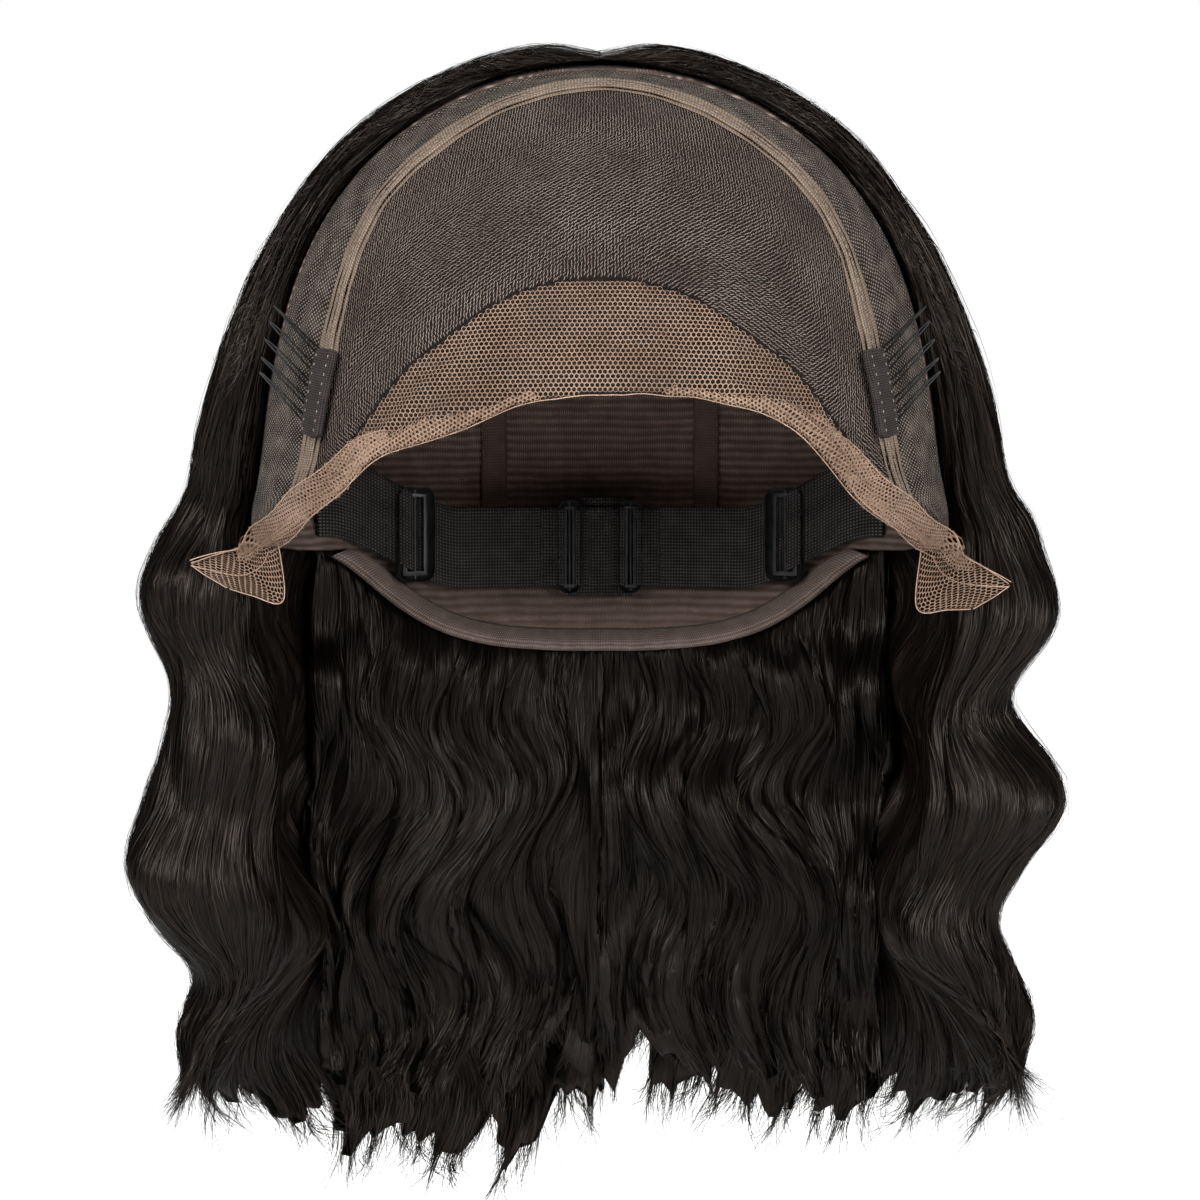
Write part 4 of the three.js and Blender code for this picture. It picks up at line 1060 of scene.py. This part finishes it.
def buildStrap():
    end, join = strap["span"] / 2, walls["gap"] / 2
    slider, hook, wall = strap["sliderPlace"], strap["hookPlace"], strap["wall"]
    spans = (("elastic_end_left", -end, -slider - join, 0.12),
             ("strap_left", -slider + join, -hook - join, 0.0),
             ("strap_middle", -hook + join, hook - join, 0.0),
             ("strap_right", hook + join, slider - join, 0.0),
             ("elastic_end_right", slider + join, end, 0.12))
    for name, low, high, crinkle in spans:
        elasticPiece(f"{name}_elastic", low, high, [name], wall, strap["height"], crinkle=crinkle)
    # The elastic is doubled back where it goes round the bars
    loops = (("elastic_loop_left", -slider - 9, -slider - 0.9, 1),
             ("elastic_loop_right", slider + 0.9, slider + 9, 0),
             ("hook_loop_1", -hook - 9.2, -hook - 0.9, 1), ("hook_loop_2", -hook + 0.9, -hook + 6.4, 0),
             ("hook_loop_3", hook - 6.4, hook - 0.9, 1), ("hook_loop_4", hook + 0.9, hook + 9.2, 0))
    for name, low, high, endHigh in loops:
        def lift(u, endHigh=endHigh):
            near = u if endHigh else 1 - u
            return wall + 0.25 + 2.1 * ease(near, 0.15, 0.6) * (1 - 0.75 * ease(near, 0.86, 1.0))
        elasticPiece(name, low, high, (), lift, strap["height"] - 0.6, 12, 0.5)
    elasticPiece("elastic_tab", -strap["tabWidth"] / 2, strap["tabWidth"] / 2, ["strap_tab"],
                 -walls["gap"], strap["tabHeight"], 24, strap["tabWall"])
    lines = []
    for x in strap["stitchPlaces"]:
        v = np.linspace(0.03, 0.97, 30)
        lines.append(strapPoint(np.full(30, x), v, np.full(30, wall + 0.25), strap["height"]))
    stitches = stitchPiece("strap_stitches", lines, 1.5, 0.9, 0.17, towardsFace)
    finishPiece(stitches, "stitchBlack")


def buildFrame(kind, word, place, width, bars):
    # A block, inset front and back and bridged through, with its outer corners and edges rounded
    height, bar, wall = strap["frameHeight"], strap["frameBar"], strap["frameWall"]
    deselect()
    bpy.ops.mesh.primitive_cube_add(size=1, scale=(width * millimetre, wall * millimetre,
                                                   height * millimetre))
    piece = bpy.context.object
    piece.name = piece.data.name = f"{kind}_frame_{word}"
    bpy.ops.object.transform_apply(location=False, rotation=False, scale=True)
    bpy.ops.object.mode_set(mode="EDIT")
    bpy.ops.mesh.select_mode(type="FACE")
    bpy.ops.mesh.select_all(action="DESELECT")
    bpy.ops.object.mode_set(mode="OBJECT")
    for face in piece.data.polygons:
        face.select = abs(face.normal.y) > 0.9
    bpy.ops.object.mode_set(mode="EDIT")
    bpy.ops.mesh.inset(thickness=bar * millimetre, use_individual=True)
    bpy.ops.mesh.bridge_edge_loops()
    bpy.ops.mesh.select_mode(type="EDGE")
    bpy.ops.mesh.select_all(action="DESELECT")
    bpy.ops.object.mode_set(mode="OBJECT")
    outer = (width / 2 - 0.01) * millimetre
    top = (height / 2 - 0.01) * millimetre
    for edge in piece.data.edges:
        ends = [piece.data.vertices[k].co for k in edge.vertices]
        edge.select = all(abs(e.x) > outer and abs(e.z) > top for e in ends)
    bpy.ops.object.mode_set(mode="EDIT")
    bpy.ops.mesh.bevel(offset=min(3.4, width / 2 - 0.5) * millimetre, segments=7, affect="EDGES")
    bpy.ops.object.mode_set(mode="OBJECT")
    applyModifier(piece, "BEVEL", {"width": 0.42 * millimetre, "segments": 3, "limit_method": "ANGLE"})
    for x, radius in bars:
        deselect()
        bpy.ops.mesh.primitive_cylinder_add(
            vertices=12, radius=radius * millimetre, depth=(height - bar) * millimetre,
            location=(x * millimetre, 0, 0))
        bpy.ops.object.transform_apply(location=True, rotation=False, scale=False)
        piece.select_set(True)
        bpy.context.view_layer.objects.active = piece
        bpy.ops.object.join()
    slope = float(strapDepth(place + width / 2) - strapDepth(place - width / 2)) / width
    depth = float(strapDepth(place)) - abs(slope) * 0.5 - strap["wall"] - walls["gap"] - wall / 2
    middle = Vector((place, depth, float(strapMiddle(place)))) * millimetre
    piece.data.transform(Matrix.Translation(middle) @ Matrix.Rotation(math.atan(slope), 4, "Z"))
    piece.data.update()
    finishPiece(piece, "plastic", [f"{kind}_{word}"])
    pick(piece)
    bpy.ops.object.shade_smooth_by_angle(angle=math.radians(40))
    return piece


def buildHardware():
    for side, word in ((-1, "left"), (1, "right")):
        buildFrame("slider", word, side * strap["sliderPlace"], strap["sliderWidth"], [(0, 0.75)])
        buildFrame("hook", word, side * strap["hookPlace"], strap["hookWidth"], [(0, 0.55)])


buildStrap()
buildHardware()
print("strap made")


comb = {"length": 29, "width": 8, "height": 2.8, "cloth": 0.7, "wire": 0.62, "reach": 22, "loops": 5,
        "lift": 6, "tilt": 11.5, "middle": 71.5, "forward": 1.5}


def combFrame(side, along):
    half = math.degrees(comb["length"] / 2 / form["halfWidth"])
    turn = side * (comb["middle"] + np.asarray(along, float) * half)
    seat = walls["panel"] + 2 * walls["gap"] + cap["seamWall"]
    line = lambda at: faceLine("seam", at) - comb["forward"]
    origin = capPoint(turn, line(turn), seat)
    lengthwise = unit(capPoint(turn + side, line(turn + side), seat) - origin)
    up = unit(origin - capPoint(turn, line(turn), 0))
    outward = unit(np.cross(lengthwise, up))
    outward = np.where(outward[..., 1:2] < 0, -outward, outward)
    return origin, lengthwise, up, outward


def combPlace(side, along, out, high, shift=0.0):
    origin, lengthwise, up, outward = combFrame(side, along)
    scale = lambda v: np.asarray(v, float)[..., None] if np.ndim(v) else v
    return origin + outward * scale(out) + up * scale(high) - lengthwise * scale(shift)


def buildCombs():
    half, high = comb["width"] / 2, comb["height"]
    for side, word in ((-1, "left"), (1, "right")):
        field = noiseField(6, 10)
        def place(u, v):
            # section: from the lower rear edge round the front to the upper rear edge
            turn = np.radians(mix(-90, 90, ease(v, 0.36, 0.64)))
            bend = high / 2
            front = -half + bend
            past = np.where(v > 0.64, mix(front, half, (v - 0.64) / 0.36), front - bend * np.cos(turn))
            out = np.where(v < 0.36, mix(half, front, v / 0.36), past)
            lift = bend + bend * np.sin(turn)
            ends = 1 - 0.25 * np.maximum(0, np.abs(2 * u - 1) - 0.9) * 10
            soft = 0.22 * readField(field, u, v) * (v > 0.5)
            return combPlace(side, 2 * u - 1, out * ends, lift + soft)
        def lay(u, v):
            return np.stack([u * comb["length"], v * 20], -1)
        cover = sheetPiece(f"comb_cloth_{word}", 40, 26, place, lay, comb["cloth"],
                           lambda p: unit(p - combPlace(side, 0, 0.0, high / 2)))
        finishPiece(cover, "combCloth", [f"comb_cover_{word}"])
        lines = []
        for out in (-half + 1.3, half - 1.1):
            along = np.linspace(-0.94, 0.94, 40)
            lines.append(combPlace(side, along, np.full(40, out), np.full(40, high + 0.12)))
        stitches = stitchPiece(f"comb_stitches_{word}", lines, 0.9, 1.7, 0.17,
                               lambda p: combFrame(side, 0)[2])
        finishPiece(stitches, "stitchPale")
        spine = [combPlace(side, a, 0.0, high / 2) for a in np.linspace(-0.93, 0.93, 9)]
        paths = [spine]
        spread = 0.075
        for loop in range(comb["loops"]):
            along = mix(-0.8, 0.8, loop / (comb["loops"] - 1)) + 0.012 * math.sin(loop * 2.3 + side)
            def leg(sign):
                steps = ((0, 1, 0, 0), (0.3, 1, 0.03, 0.2), (0.52, 0.86, 0.24, 0.43), (0.7, 0.7, 0.5, 0.65),
                         (0.86, 0.52, 0.75, 0.84), (0.97, 0.3, 0.93, 0.97))
                return [combPlace(side, along + sign * spread * near, comb["reach"] * out,
                                  high / 2 + comb["lift"] * up, comb["tilt"] * shift)
                        for out, near, up, shift in steps]
            tip = [combPlace(side, along, comb["reach"] * 1.005, high / 2 + comb["lift"], comb["tilt"])]
            paths.append(leg(-1) + tip + leg(1)[::-1])
        wire = tubePiece(f"comb_teeth_{word}", paths, comb["wire"] / 2, 8)
        finishPiece(wire, "coatedWire", [f"comb_wire_{word}"])


buildCombs()
print("combs made")


hair = {"fall": 230, "swell": 38.5, "roof": 7.5, "dip": 3, "lock": 5, "locks": 6.5, "napeLocks": 4.5,
        "tip": 3, "rimRoom": 1.2, "partBack": 52, "napeStart": 28, "napeTop": 12,
        "layerRoom": 3, "roofPart": 0.42,
        "nose": 0.05, "sway": 8.5, "waveLength": 68, "crest": 3.8, "sweep": 10, "gather": 0.75,
        "meanWave": 0.72, "length": 360, "napeLength": 190, "around": 640, "wispColumns": 5.5}
waves = {
    "fall": [0, 0.06, 0.15, 0.27, 0.38, 0.47, 0.54, 0.62, 0.7, 0.8, 1],
    "left": [0.52, 0.72, 0.88, 0.64, 0.84, 1, 0.84, 0.56, 0.76, 0.74, 0.5],
    "right": [0.5, 0.74, 0.88, 0.54, 0.93, 0.64, 0.44, 0.62, 0.84, 0.78, 0.5],
    "forward": [7.6, 8, 9, 13, 15, 16, 16, 15, 13, 11, 8],
    "side": [0.11, 0.14, 0.14, 0.02, -0.1, -0.14, -0.16, -0.2, -0.2, -0.2, -0.2],
    "back": [0.09, 0.15, 0.22, 0.22, 0.22, 0.22, 0.2, 0.16, 0.14, 0.12, 0.1],
}
tips = {"round": [0, 0.15, 0.35, 0.6, 0.8, 1], "left": [0.77, 0.82, 0.91, 0.97, 1, 0.92],
        "right": [0.76, 0.82, 0.88, 0.94, 0.92, 0.85]}
innerRoom = walls["back"] + walls["gap"] + 3 * walls["facet"]
formCentre = np.array([0.0, 0, earLevel])


def outlineRadius(turn):
    x, y = np.cos(turn), np.sin(turn)
    depth = np.where(y < 0, form["frontDepth"], form["backDepth"])
    return 1 / np.hypot(x / form["halfWidth"], y / depth)


def levelWay(turn):
    return np.stack([np.cos(turn), np.sin(turn), 0 * turn], -1)


def lockShare(round_, locks):
    return np.sin(np.pi * ((round_ * locks) % 1))


def innerStand(turn, fall):
    side, back = through(waves, "fall", "side", fall), through(waves, "fall", "back", fall)
    return mix(side, back, ease(np.degrees(turn), 5, 35)) * hair["swell"]


swayField, phaseField = noiseField(5, 9), noiseField(4, 8)


def waveSway(side, fall, round_):  # sideways, in millimetres
    x = 0.5 + 0.5 * side * (1 - round_)
    size = hair["sway"] * (1 + 0.35 * readField(swayField, x, fall))
    turned = 2 * np.pi * fall * hair["fall"] / hair["waveLength"] + 1 + 1.3 * round_
    return size * np.sin(turned + 0.8 * readField(phaseField, x, fall))


tipLocks = ((9, 0.034, 0.3), (23, 0.028, 1.7), (37, 0.014, 0.9))  # locks on a side, notch, shift


def tipLoss(side, round_):
    # Share of the length lost at the tips: each lock has its own length, with notches between them
    loss = 0
    for locks, depth, shift in tipLocks:
        phase = round_ * locks + shift + 0.4 * side
        own = 0.3 + 0.7 * np.abs(np.sin(12.9898 * np.floor(phase) + side))
        loss = loss + depth * (1 - own * np.abs(np.sin(np.pi * phase)))
    return loss * ease(round_, 0, 0.06)


def gathered(side, round_, share):
    # Towards the tips the hair draws together into its locks
    locks, _, shift = tipLocks[1]
    phase = round_ * locks + shift + 0.4 * side
    pull = hair["gather"] * ease(share, 0.72, 1) * np.sin(2 * np.pi * phase) / (2 * np.pi * locks)
    return np.clip(round_ + pull, 0, 1)


def roofPoint(side, round_, angle, w, word):
    rim = capPoint(angle, faceLine("rim", angle) + hair["rimRoom"], 0) - formCentre
    a = np.radians(angle)
    frontRoot = -form["frontDepth"] * math.cos(math.radians(float(faceLine("rim", 0)) + hair["rimRoom"]))
    root = np.stack([0 * a, mix(frontRoot, hair["partBack"], round_), 0 * a - earLevel], -1)
    turn = np.radians(mix(-waves["forward"][0], 90, round_))
    level = levelWay(turn) * outlineRadius(turn)[..., None]
    fan = unit(root * np.cos(a)[..., None] + level * np.sin(a)[..., None])
    direction = unit(mix(fan, unit(rim), ((1 - round_) ** 3)[..., None]))
    direction = direction * np.array([side, 1, 1])
    p = leaveForm(np.broadcast_to(formCentre, direction.shape), direction)
    share = angle / 90
    dip = hair["dip"] * (1 - ease(angle, 0, 8))
    swell = waves[word][0] * hair["swell"] - hair["roof"]
    ridge = hair["lock"] * share * (lockShare(round_, hair["locks"]) - 0.6)
    stand = mix(innerRoom, hair["roof"] - dip + swell * share**2.5 + ridge, w)
    return p + direction * stand[..., None]


def innerSwing(wave, turn, fall):  # the inside follows the outer waves towards the front
    swing = 0.5 * (wave - hair["meanWave"]) * hair["swell"]
    return swing * ease(fall, 0.1, 0.3) * (1 - ease(turn, 0.3, 1.0))


def hangPoint(side, round_, share, w, word):
    notch = 0.05 * (1 - lockShare(round_, hair["locks"]))
    end = through(tips, "round", word, round_) - notch - tipLoss(side, round_)
    round_ = gathered(side, round_, share)
    fall = share * end
    forward = through(waves, "fall", "forward", fall)
    turn = np.radians(mix(-forward, 90, round_))
    shifted = np.minimum(1, fall + 0.08 * np.sin(turn) * np.minimum(1, fall * 8))
    ridge = hair["lock"] * (lockShare(round_, hair["locks"]) - 0.6)
    wave = through(waves, "fall", word, shifted)
    stand = wave * hair["swell"] + ridge
    inner = innerStand(turn, fall) + innerSwing(wave, turn, fall)
    taper = ease(share, 0.72, 1)
    middle = mix(inner, stand, 0.8)
    thin = middle + (w - 0.5) * hair["tip"] * (1 - 0.75 * ease(share, 0.88, 1))
    offset = mix(mix(inner, stand, w), thin, taper)
    sway = waveSway(side, fall, round_) * np.minimum(1, fall * 5) * np.sin(np.pi * round_) ** 0.5
    radius = outlineRadius(turn) + offset
    swayed = turn + sway / radius
    return np.stack([side * np.cos(swayed) * radius, np.sin(swayed) * radius,
                     earLevel - fall * hair["fall"]], -1)


def sidePoint(side, word):
    def place(round_, t, w):
        part = hair["roofPart"]
        onRoof = t < part
        angle = np.clip(t / part, 0, 1) * 90
        share = np.clip((t - part) / (1 - part), 0, 1)
        return np.where(onRoof[..., None], roofPoint(side, round_, angle, w, word),
                        hangPoint(side, round_, share, w, word))
    return place


neckTurns = np.arange(tabEnd, 181.0)
neckPoints = capPoint(neckTurns, neckEdge(neckTurns), 0)
neckAround = np.arctan2(neckPoints[:, 1], neckPoints[:, 0])


def napePoint(side, word):
    def place(round_, t, w):
        turn = np.radians(mix(hair["napeStart"], 90, round_))
        notch = 0.07 * (1 - lockShare(round_, hair["napeLocks"]))
        end = (0.86 - notch - tipLoss(side, round_)) * hair["fall"]
        drop = mix(hair["napeTop"], end, t)
        z = earLevel - drop
        level = levelWay(turn)
        order = np.argsort(neckAround)
        rim = np.interp(turn, neckAround[order], neckPoints[order, 2])
        start = np.stack([0 * turn, 0 * turn, np.maximum(z, rim)], -1)
        wallRadius = (leaveForm(start, level) * level).sum(-1)
        below = np.maximum(0, rim - z)
        wave = 4 * np.sin(below / 11) * np.minimum(1, below / 30)
        ridge = hair["lock"] * lockShare(round_, hair["napeLocks"]) * np.minimum(1, below / 20)
        room = mix(walls["back"] + walls["facet"], 2 * walls["back"] + 2 * walls["facet"], ease(t, 0, 0.06))
        near = wallRadius + walls["gap"] + room + wave - ridge
        fall = drop / hair["fall"]
        shift = innerSwing(through(waves, "fall", word, fall), turn, fall)
        far = outlineRadius(turn) + innerStand(turn, fall) - hair["layerRoom"] + shift
        near = near + shift
        taper = ease(t, 0.6, 1)
        middle = mix(near, far, 0.6)
        radius = mix(mix(near, far, w), middle + (w - 0.5) * 3, taper)
        swayed = turn - (waveSway(side, fall, round_) * np.minimum(1, below / 40)
                         * (1 - round_**6) * np.minimum(1, 0.4 + 3 * round_) / 90)
        swayed = swayed - np.radians(hair["sweep"]) * ease(t, 0.05, 0.8) * np.sin(np.pi * round_)
        p = levelWay(swayed) * radius[..., None]
        p[..., 2] = z
        p[..., 0] = side * p[..., 0]
        return p
    return place


def hairLoop(noseCount, outerCount, innerCount):
    # round and w once round a lock's section: nose from inside to outside, outer face, inner face
    phi = np.radians(np.linspace(-90, 90, noseCount, endpoint=False))
    nose = np.stack([hair["nose"] * (1 - np.cos(phi)), (1 + np.sin(phi)) / 2], -1)
    outer = np.stack([np.linspace(hair["nose"], 1, outerCount), np.ones(outerCount)], -1)
    inner = np.stack([np.linspace(1, hair["nose"], innerCount, endpoint=False), np.zeros(innerCount)], -1)
    return np.concatenate([nose, outer, inner])


reliefFields = [noiseField(5, 12), noiseField(8, 40), noiseField(12, 90), noiseField(18, 60)]


def hairRelief(across, t):
    x = across / hair["around"] + 0.5  # across is in millimetres, 0 at the middle of the back
    drift = 9 * readField(reliefFields[0], x, t)
    total = 0
    for width, height, field, swing in ((17, 2.1, 1, 1.5), (6.1, 0.7, 2, 1.6), (2.6, 0.2, 3, 1.4)):
        phase = (across + drift) / width + swing * readField(reliefFields[field], x, t)
        total = total + height * (np.abs(np.sin(np.pi * phase)) ** 0.8 - 0.62)
    return total * ease(t, 0.0, 0.06)


def crestRelief(across, t, cycles):
    # Waves that stand out and fall back along the hair, in step with the sideways ones
    x = across / hair["around"] + 0.5
    phase = 2 * np.pi * cycles * t + across / 55 + 1.3 * readField(reliefFields[0], x, t)
    return hair["crest"] * np.sin(phase) * (1 + 0.3 * readField(reliefFields[1], x, t))


def gridFrame(grid):
    across = np.roll(grid, -1, axis=1) - np.roll(grid, 1, axis=1)
    return across, unit(np.cross(across, np.gradient(grid, axis=0)))


def hairGrid(place, side, loop, levels, seamColumn, cycles, crestStart):
    t, rows = levels, len(levels)
    tt = np.repeat(t[:, None], len(loop), 1)
    rr = np.repeat(loop[None, :, 0], rows, 0)
    ww = np.repeat(loop[None, :, 1], rows, 0)
    grid = place(rr, tt, ww)
    across, normal = gridFrame(grid)
    centre = grid.mean(axis=1, keepdims=True)
    if ((grid - centre) * normal).sum() < 0:
        normal = -normal
    section = grid[int(rows * 0.6)]
    arc = np.concatenate([[0], np.cumsum(np.linalg.norm(np.diff(section, axis=0), axis=1))])
    signed = np.repeat(side * (arc[seamColumn] - arc)[None, :], rows, 0)
    facing = np.abs(normal[..., 1:2])
    crest = crestRelief(signed, tt, cycles) * ease(tt, crestStart, crestStart + 0.15)
    grid = grid + normal * (hairRelief(signed, tt)[..., None] + facing * crest[..., None])
    across, turned = gridFrame(grid)
    normal = turned * np.sign((turned * normal).sum(-1, keepdims=True))
    return grid, normal, unit(across), tt, signed


def endStrip(loop, turnBack):
    # Triangles between the outer and the inner line of a shell's end
    low, high, faces = 0, len(loop) - 1, []
    while low < turnBack or high > turnBack + 1:
        if low < turnBack and (high == turnBack + 1 or loop[low + 1, 0] <= loop[high - 1, 0]):
            faces.append((low, low + 1, high))
            low += 1
        else:
            faces.append((low, high - 1, high))
            high -= 1
    return np.array(faces)


def hairShell(name, finish, shell, nodes, length, ends):
    grid, tt, signed = shell[0], shell[3], shell[4]
    rows, columns = grid.shape[:2]
    index = np.arange(rows * columns).reshape(rows, columns)
    right = np.roll(index, -1, axis=1)
    faces = np.stack([index[:-1], right[:-1], right[1:], index[1:]], -1).reshape(-1, 4)
    half = faces[:, [0, 1, 2]], faces[:, [0, 2, 3]]
    faces = np.concatenate([*half, ends, ends[:, ::-1] + (rows - 1) * columns])
    flat = np.stack([signed, tt * length], -1).reshape(-1, 2)
    piece = meshPiece(name, grid.reshape(-1, 3), faces, flat)
    faceOutward(piece)
    finishPiece(piece, finish, nodes)
    piece.data.materials.append(finishes["hairShade"])
    corner = np.zeros(len(piece.data.loops), np.int32)
    piece.data.loops.foreach_get("vertex_index", corner)
    row = corner.reshape(-1, 3) // columns
    piece.data.polygons.foreach_set("material_index", (row.min(1) == row.max(1)).astype(np.int32))
    return piece


def sampleGrid(values, row, column):
    rows, columns = values.shape[:2]
    row = np.clip(row, 0, rows - 1.001)
    r0, c0 = row.astype(int), np.floor(column).astype(int)
    fr, fc = (row - r0)[..., None], (column - c0)[..., None]
    c0, c1 = c0 % columns, (c0 + 1) % columns
    return mix(mix(values[r0, c0], values[r0, c1], fc), mix(values[r0 + 1, c0], values[r0 + 1, c1], fc), fr)


def strandRibbons(grid, normal, across, levels, columns, count, steps, length, sizes):
    rows = grid.shape[0]
    low, high = columns
    start = random.uniform(sizes["startLow"], sizes["startHigh"], count)
    reach = random.uniform(sizes["reachLow"], sizes["reachHigh"], count)
    end = np.minimum(start + reach, random.uniform(0.97, sizes["beyond"], count))
    column = random.uniform(low, high, count)
    apart = hair["wispColumns"]
    column = column - sizes["wisp"] * apart / (2 * np.pi) * np.sin(2 * np.pi * (column / apart + 0.5))
    s = np.linspace(0, 1, steps + 1)[None, :]
    t = mix(start[:, None], end[:, None], s)
    def each(draw, *limits):
        return draw(*limits, count)[:, None]
    bends = np.sin(t * each(random.uniform, 5, 11) + each(random.uniform, 0, 6.3))
    wander = sizes["wander"] * (bends * each(random.normal, 0, 1))
    wander = wander + sizes["gather"] * each(random.normal, 0, 1) * (s - 0.5)
    place = column[:, None] + wander + sizes["climb"] * s**0.8
    row = np.interp(np.clip(t, 0, 1), levels, np.arange(rows))
    p = sampleGrid(grid, row, place)
    n = unit(sampleGrid(normal, row, place))
    a = unit(sampleGrid(across, row, place))
    lift = each(random.gamma, 1.6, sizes["lift"]) * np.sin(np.pi * np.clip(s * 0.86 + 0.07, 0, 1)) + 0.1
    over = np.maximum(0, t - 1) * length
    tip = sampleGrid(grid, np.full((count, 1), rows - 1.0), place[:, -1:])
    before = sampleGrid(grid, np.full((count, 1), rows - 6.0), place[:, -1:])
    heading = unit(tip - before)
    wisp = (column / apart).astype(int)  # hairs of one wisp curl alike
    bend = 0.9 * np.stack([np.sin(wisp * 12.9898), np.sin(wisp * 78.233)])
    bend = bend + random.normal(0, 0.3, (2, count))
    bend = np.clip(bend, -1.3, 1.3)
    curl = bend[0][:, None, None] * n + bend[1][:, None, None] * a
    p = p + n * lift[..., None] + heading * over[..., None] + curl * (over**2 / 26)[..., None]
    narrowing = np.sin(np.pi * np.clip(s * 0.92 + 0.04, 0, 1)) ** 0.5
    width = sizes["width"] * each(random.uniform, 0.6, 1.25) * narrowing
    tilt = random.uniform(-0.5, 0.5, count)[:, None, None]
    wide = unit(a + n * tilt) * (width / 2)[..., None]
    points = np.stack([p - wide, p + wide], 2)  # count, steps + 1, 2, 3
    shade = np.repeat(random.beta(1.6, 2.6, count)[:, None], (steps + 1) * 2, 1)
    along = np.repeat(t, 2, axis=1)
    base = np.arange(count)[:, None] * (steps + 1) * 2 + np.arange(steps)[None, :] * 2
    base = base.reshape(-1)
    faces = np.stack([base, base + 1, base + 3, base + 2], -1)
    return points.reshape(-1, 3), faces, np.stack([shade.ravel(), along.ravel()], -1)


strandSizes = {
    "face": {"startLow": -0.1, "startHigh": 0.85, "reachLow": 0.15, "reachHigh": 0.36, "beyond": 1.04,
             "wander": 0.8, "gather": 1.2, "lift": 0.28, "width": 0.26, "wisp": 0.0, "climb": 0.0},
    "nose": {"startLow": 0.0, "startHigh": 0.85, "reachLow": 0.15, "reachHigh": 0.36, "beyond": 1.04,
             "wander": 0.7, "gather": 1.2, "lift": 0.35, "width": 0.24, "wisp": 0.0, "climb": 0.0},
    "tip": {"startLow": 0.86, "startHigh": 0.97, "reachLow": 0.1, "reachHigh": 0.24, "beyond": 1.052,
            "wander": 0.4, "gather": 1.0, "lift": 0.4, "width": 0.26, "wisp": 0.8, "climb": 0.0},
    "rise": {"startLow": 0.003, "startHigh": 0.3, "reachLow": 0.05, "reachHigh": 0.12, "beyond": 1.04,
             "wander": 0.6, "gather": 2.0, "lift": 0.3, "width": 0.24, "wisp": 0.0, "climb": 42.0},
}


def buildHair():
    nose, outer, inner = 30, 170, 90
    loop, last, full = hairLoop(nose, outer, inner), nose + outer, nose + outer + inner
    levels = np.concatenate([np.linspace(0, hair["roofPart"], 32, endpoint=False),
                             np.linspace(hair["roofPart"], 1, 72)])
    napeNose, napeOuter, napeInner = 20, 40, 100
    napeLoop, napeLast = hairLoop(napeNose, napeOuter, napeInner), napeNose + napeOuter
    napeFull, napeLevels = napeLast + napeInner, np.linspace(0, 1, 70)

    def strandPiece(name, finish, shell, heights, length, rows):
        parts = [strandRibbons(*shell[:3], heights, columns, count, steps, length, strandSizes[kind])
                 for columns, count, steps, kind in rows]
        finishPiece(meshPiece(name, *joinParts(parts)), finish)

    for side, word in ((-1, "left"), (1, "right")):
        shell = hairGrid(sidePoint(side, word), side, loop, levels, last - 1, 5.9, 0.36)
        hairShell(f"hair_locks_{word}", "hair", shell, [f"hair_{word}"], hair["length"],
                  endStrip(loop, last - 1))
        strandPiece(f"strands_back_{word}", "strand", shell, levels, hair["length"],
                    (((nose, last - 1), 2200, 12, "face"), ((nose, last - 1), 2600, 6, "tip"),
                     ((last + 20, full), 500, 12, "face"), ((last + 2, full), 2000, 6, "tip")))
        strandPiece(f"strands_front_{word}", "strand", shell, levels, hair["length"],
                    (((-8, nose + 14), 1950, 12, "nose"), ((-8, nose + 14), 1300, 6, "tip"),
                     ((-4, 6), 900, 12, "rise")))
        # the nape hair takes the darker copies of the hair finishes: painted shade
        shell = hairGrid(napePoint(side, word), side, napeLoop, napeLevels, napeLast - 1, 2.8, 0.15)
        hairShell(f"nape_locks_{word}", "paintedShadeHair", shell, [f"hair_nape_{word}"], hair["napeLength"],
                  endStrip(napeLoop, napeLast - 1))
        strandPiece(f"nape_strands_{word}", "paintedShadeStrand", shell, napeLevels, hair["napeLength"],
                    (((napeLast, napeFull), 1700, 10, "face"), ((napeLast, napeFull), 1300, 6, "tip"),
                     ((-8, napeNose + 6), 400, 10, "nose")))


buildHair()
print("hair made")

total = 0
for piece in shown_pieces():
    if piece.type == "MESH" and "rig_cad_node" not in piece:
        count = sum(len(face.vertices) - 2 for face in piece.data.polygons)
        total += count
        if count > 5000:
            print("piece", piece.name, count)
print("triangles added:", total)
